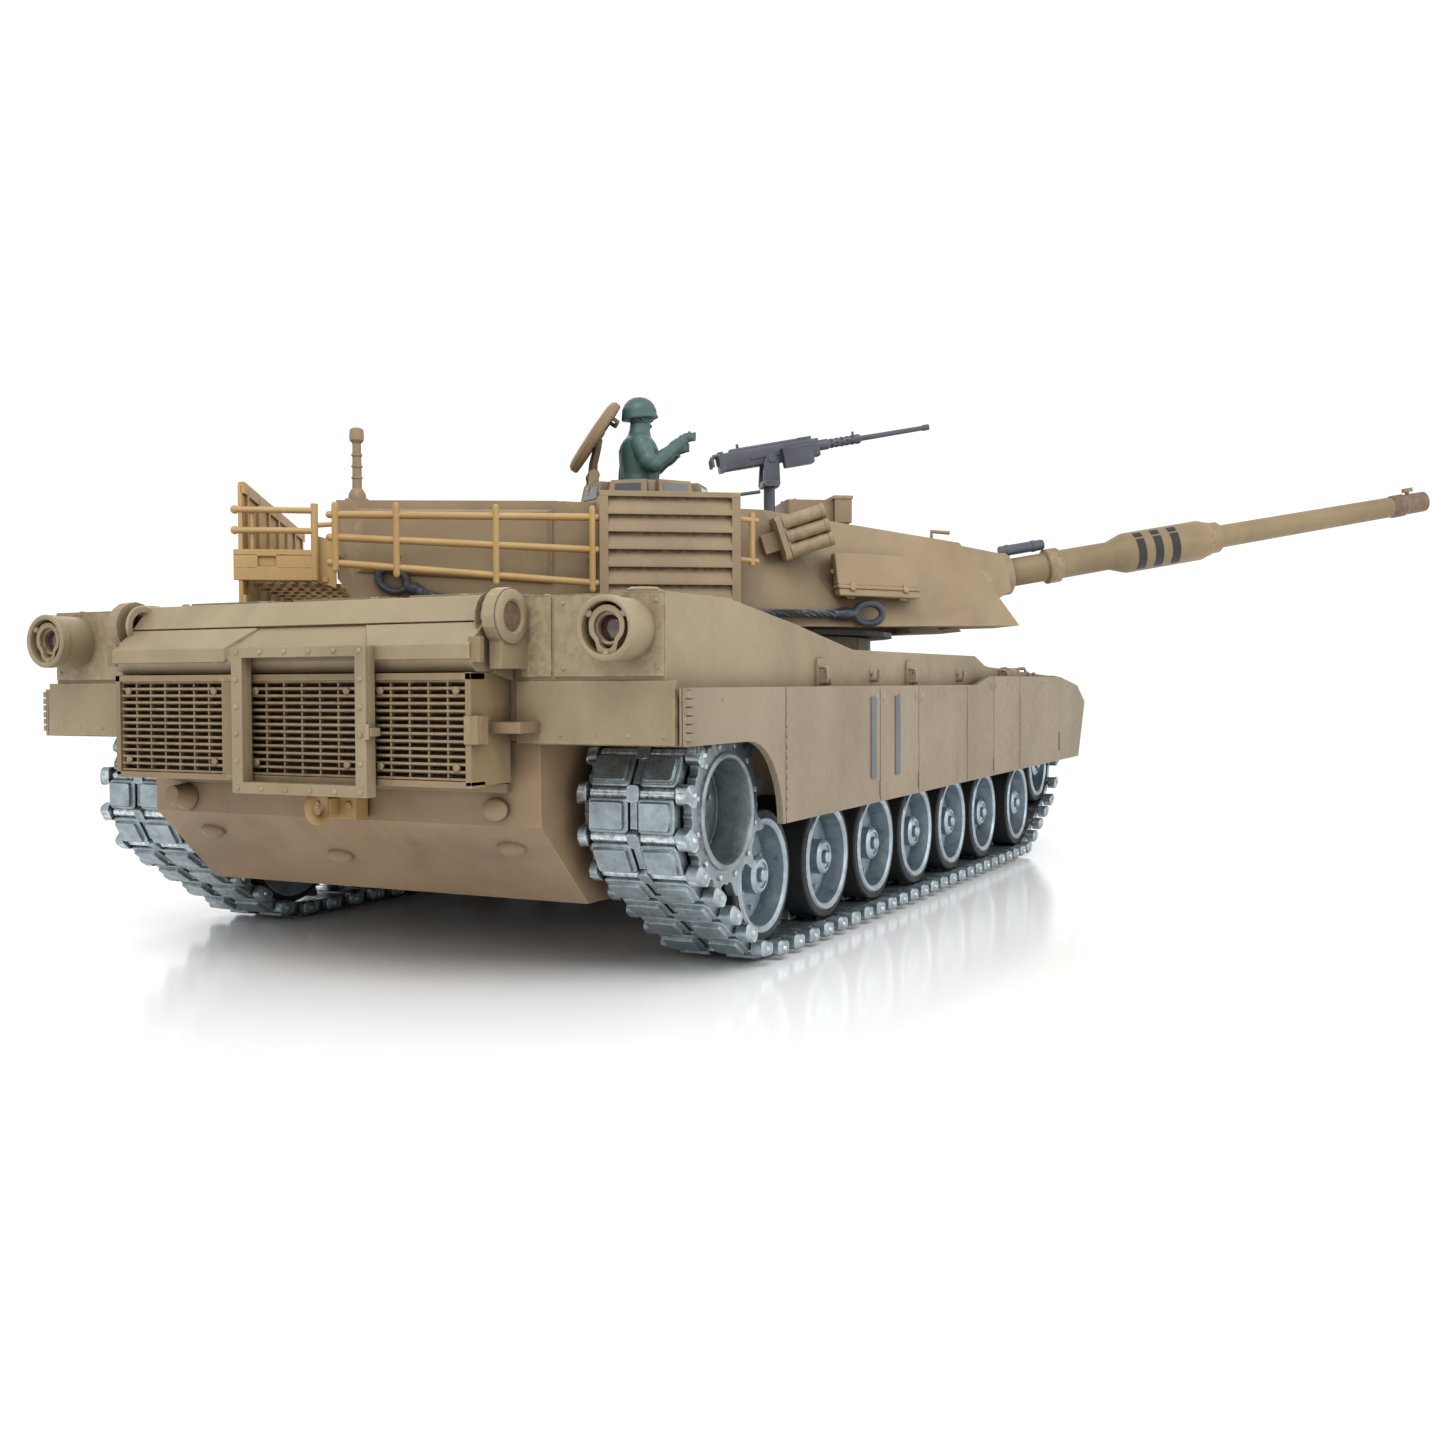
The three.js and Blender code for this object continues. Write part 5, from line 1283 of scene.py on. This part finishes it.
def commander():
    s = Shape()
    cx, cy = FIGURE

    def ring(z, rx, ry, dx=0.0, dy=0.0, power=2.3, n=28):
        out = []
        for k in range(n):
            t = 2 * math.pi * k / n
            c, w = math.cos(t), math.sin(t)
            out.append((cx + dx + rx * math.copysign(abs(c) ** (2 / power), c),
                        cy + dy + ry * math.copysign(abs(w) ** (2 / power), w), z))
        return out
    s.loft([ring(150, 6.6, 8.6), ring(154, 6.8, 8.9), ring(157.5, 7.6, 9.3, 0.2),
            ring(160.5, 7.4, 9.2, 0.3), ring(164, 7.5, 9.8, 0.1),
            ring(167.5, 7.6, 10.6), ring(170.4, 7.6, 11.0, -0.1), ring(172.6, 6.8, 10.6, -0.2),
            ring(174.2, 5.8, 8.8, -0.2),
            ring(175.4, 4.8, 6.4, -0.1), ring(176.6, 4.3, 4.8, 0.1), ring(178.4, 4.0, 4.1, 0.4),
            ring(180.6, 3.8, 3.8, 0.5)])
    # collar and vest straps
    s.tube([(cx + 3.9 * math.cos(t) + 0.1, cy + 4.4 * math.sin(t), 175.9 + 0.5 * math.cos(t)) for t in
            (2 * math.pi * k / 24 for k in range(24))], 0.8, n=8, closed=True)
    s.tube([(cx + 7.0 * math.cos(t), cy + 9.5 * math.sin(t), 158.2)
            for t in (2 * math.pi * k / 32 for k in range(32))], 0.75,
           n=8, closed=True)
    for y in (-4.6, 4.6):
        s.tube(spline([(cx + 6.6, cy + y, 159), (cx + 6.8, cy + y, 167), (cx + 4.6, cy + y, 173.2),
                       (cx, cy + y * 1.05, 174.9),
                       (cx - 5.2, cy + y, 172.2), (cx - 6.6, cy + y, 165), (cx - 7, cy + y, 159)], 5), 0.65,
               n=8)
    s.loft([[(x, cy + y, z) for y, z in rounded(-3.2, 3.2, 160.5, 166.5, 0.8)]
            for x in (cx + 5.6, cx + 7.7)])
    # arms: shoulder, elbow, wrist
    for side, hand in ((-1, (20.6, -4.2, 176.4)), (1, (19.5, 3.2, 173.6))):
        a = Vector((cx - 0.2, cy + side * 8.8, 171.6))
        b = Vector((cx + 3.8, cy + side * 12.2, 163.4))
        c = Vector((cx + hand[0] - 4, cy + hand[1] + side * 2, hand[2] - 2.4))
        path = spline([a, (a + b) / 2 + Vector((-0.6, side * 1.0, 0)), b,
                       (b + c) / 2 + Vector((0, side * 0.5, -0.4)), c], 5)
        n = len(path) - 1
        s.tube(path, [4.1 - 1.7 * (i / n) ** 0.9 + 0.22 * math.sin(i * 1.9) for i in range(n + 1)], n=14)
        s.ball(a, 4.1, n=8)
        palm = Vector((cx + hand[0] - 2.6, cy + hand[1] + side * 1.6, hand[2] - 1.4))
        s.ball(palm, 1.9, n=8, squash=(1.3, 0.8, 1.0))
        for k in range(4):
            tip = palm + Vector((3.4, -side * 0.6 + 0.0, 2.0 - 0.9 * k))
            s.tube([palm + Vector((0.6, 0, 0.9 - 0.55 * k)), tip], [0.75, 0.5], n=8)
        s.tube([palm + Vector((0, 0, 1.0)), palm + Vector((1.3, -side * 1.2, 2.6))], [0.7, 0.5], n=8)
    # head: a plain oval with brows, nose, lips and ears
    hx, hz = cx + 0.9, 183.2
    rings = []
    for k in range(15):
        t = math.pi * k / 14
        z = hz - 5.6 * math.cos(t)
        w = math.sin(t)
        chin = 1 - 0.16 * max(0, math.cos(t))
        rings.append([(hx + 4.55 * w * chin * math.cos(u) - 0.25, cy + 3.75 * w * chin * math.sin(u), z)
                      for u in (2 * math.pi * j / 28 for j in range(28))])
    rings[0] = [(hx + 0.5 + (p[0] - hx) * 0.4, p[1], p[2]) for p in rings[0]]
    s.loft(rings)
    s.convex([(hx + 3.8, cy - 0.5, 183.6), (hx + 3.8, cy + 0.5, 183.6), (hx + 5.2, cy, 181.9),
              (hx + 4.0, cy - 0.95, 181.5),
              (hx + 4.0, cy + 0.95, 181.5), (hx + 3.4, cy, 184.4)])
    s.tube([(hx + 3.75, cy - 1.2, 180.1), (hx + 4.2, cy, 180.2), (hx + 3.75, cy + 1.2, 180.1)], 0.3, n=8)
    s.tube([(hx + 3.75, cy - 1.0, 179.6), (hx + 4.1, cy, 179.6), (hx + 3.75, cy + 1.0, 179.6)], 0.32, n=8)
    for side in (-1, 1):
        s.tube([(hx + 4.1, cy + side * 0.7, 184.3), (hx + 3.7, cy + side * 1.7, 184.5),
                (hx + 2.9, cy + side * 2.6, 184.2)], 0.38, n=8)
        s.ball((hx + 3.55, cy + side * 1.45, 183.3), 0.55, n=6)
        s.ball((hx + 0.2, cy + side * 3.9, 182.6), 1.0, n=6, squash=(0.8, 0.5, 1.4))
    # helmet with a rim
    dome = []
    for k, (z, r) in enumerate(((183.2, 6.1), (183.0, 6.4), (183.7, 6.55), (184.4, 6.4), (186, 6.3),
                                (188, 5.5), (189.4, 4.4),
                                (190.4, 2.9), (190.9, 1.3), (191, 0.05))):
        dome.append([(cx + 0.3 + r * 1.05 * math.cos(u) + (0.5 if z < 184 and math.cos(u) > 0.6 else 0),
                      cy + r * 0.94 * math.sin(u),
                      z - (0.7 * (1 - math.cos(u)) if z < 184.3 else 0))
                     for u in (2 * math.pi * j / 36 for j in range(36))])
    s.loft(dome)
    obj = turret_piece("commander", s, GREEN, slot="figure_green", bevel=0, smooth=60,
                       replaces=["commander_figure"])
    remesh = obj.modifiers.new("blend", "REMESH")
    remesh.mode = "VOXEL"
    remesh.voxel_size = 0.32 * MM
    smooth = obj.modifiers.new("soften", "SMOOTH")
    smooth.factor = 0.5
    smooth.iterations = 3
    return obj


commander()

# ---- floor, light and camera ------------------------------------------------------------------
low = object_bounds()[0]
floor_mesh = bpy.data.meshes.new("floor")
FLOOR_HALF, FLOOR_GAP = 40.0, 0.0002
floor_mesh.from_pydata([(x * FLOOR_HALF, y * FLOOR_HALF, 0) for x,
                        y in ((-1, -1), (1, -1), (1, 1), (-1, 1))], [], [(0, 1, 2, 3)])
floor = bpy.data.objects.new("floor", floor_mesh)
floor.location.z = low[2] - FLOOR_GAP
fm = Nodes("floor_white")
fm.link(fm.mix(fm.noise(3, 2), (0.88, 0.89, 0.9, 1), (0.92, 0.925, 0.93, 1)), fm.bsdf.inputs["Base Color"])
fm.link(fm.ramp(fm.noise(5, 3), [(0.3, 0.1), (0.7, 0.14)]), fm.bsdf.inputs["Roughness"])
floor_mesh.materials.append(fm.mat)
bpy.context.scene.collection.objects.link(floor)

WORLD_LIGHT = 1.08
world = bpy.data.worlds.new("studio")
bpy.context.scene.world = world
world.use_nodes = True
world.node_tree.nodes["Background"].inputs["Color"].default_value = (1, 1, 1, 1)
world.node_tree.nodes["Background"].inputs["Strength"].default_value = WORLD_LIGHT


def area(name, at, target, size, power):
    data = bpy.data.lights.new(name, "AREA")
    data.energy = power
    data.shape = "RECTANGLE"
    data.size, data.size_y = size
    obj = bpy.data.objects.new(name, data)
    obj.location = HULL @ Vector(at)
    aim = (HULL @ Vector(target)) - obj.location
    obj.rotation_euler = aim.to_track_quat("-Z", "Y").to_euler()
    bpy.context.scene.collection.objects.link(obj)


area("key", (-500, -300, 900), (180, 0, 70), (0.8, 0.6), 7)
area("fill", (300, -1100, 420), (200, 0, 80), (0.9, 0.7), 3)
area("rim", (900, 700, 700), (200, 0, 100), (0.8, 0.6), 4)

CAMERA_AT, CAMERA_TURN, CAMERA_LENS = (-311.8, -279.4, 81.1), (26.51, -1.56, -0.24), 36.01
camera_data = bpy.data.cameras.new("camera")
camera = bpy.data.objects.new("camera", camera_data)
bpy.context.scene.collection.objects.link(camera)
yaw, pitch, roll = (math.radians(a) for a in CAMERA_TURN)
look = Vector((math.cos(pitch) * math.cos(yaw), math.cos(pitch) * math.sin(yaw), math.sin(pitch)))
right = Vector((math.sin(yaw), -math.cos(yaw), 0))
up = right.cross(look)
right, up = right * math.cos(roll) + up * math.sin(roll), up * math.cos(roll) - right * math.sin(roll)
pose = Matrix((right, up, -look)).transposed().to_4x4()
pose.translation = HULL @ Vector(CAMERA_AT)
camera.matrix_world = pose
camera_data.lens = CAMERA_LENS
camera_data.clip_start = 0.02
bpy.context.scene.camera = camera
bpy.context.scene.view_settings.view_transform = "Standard"
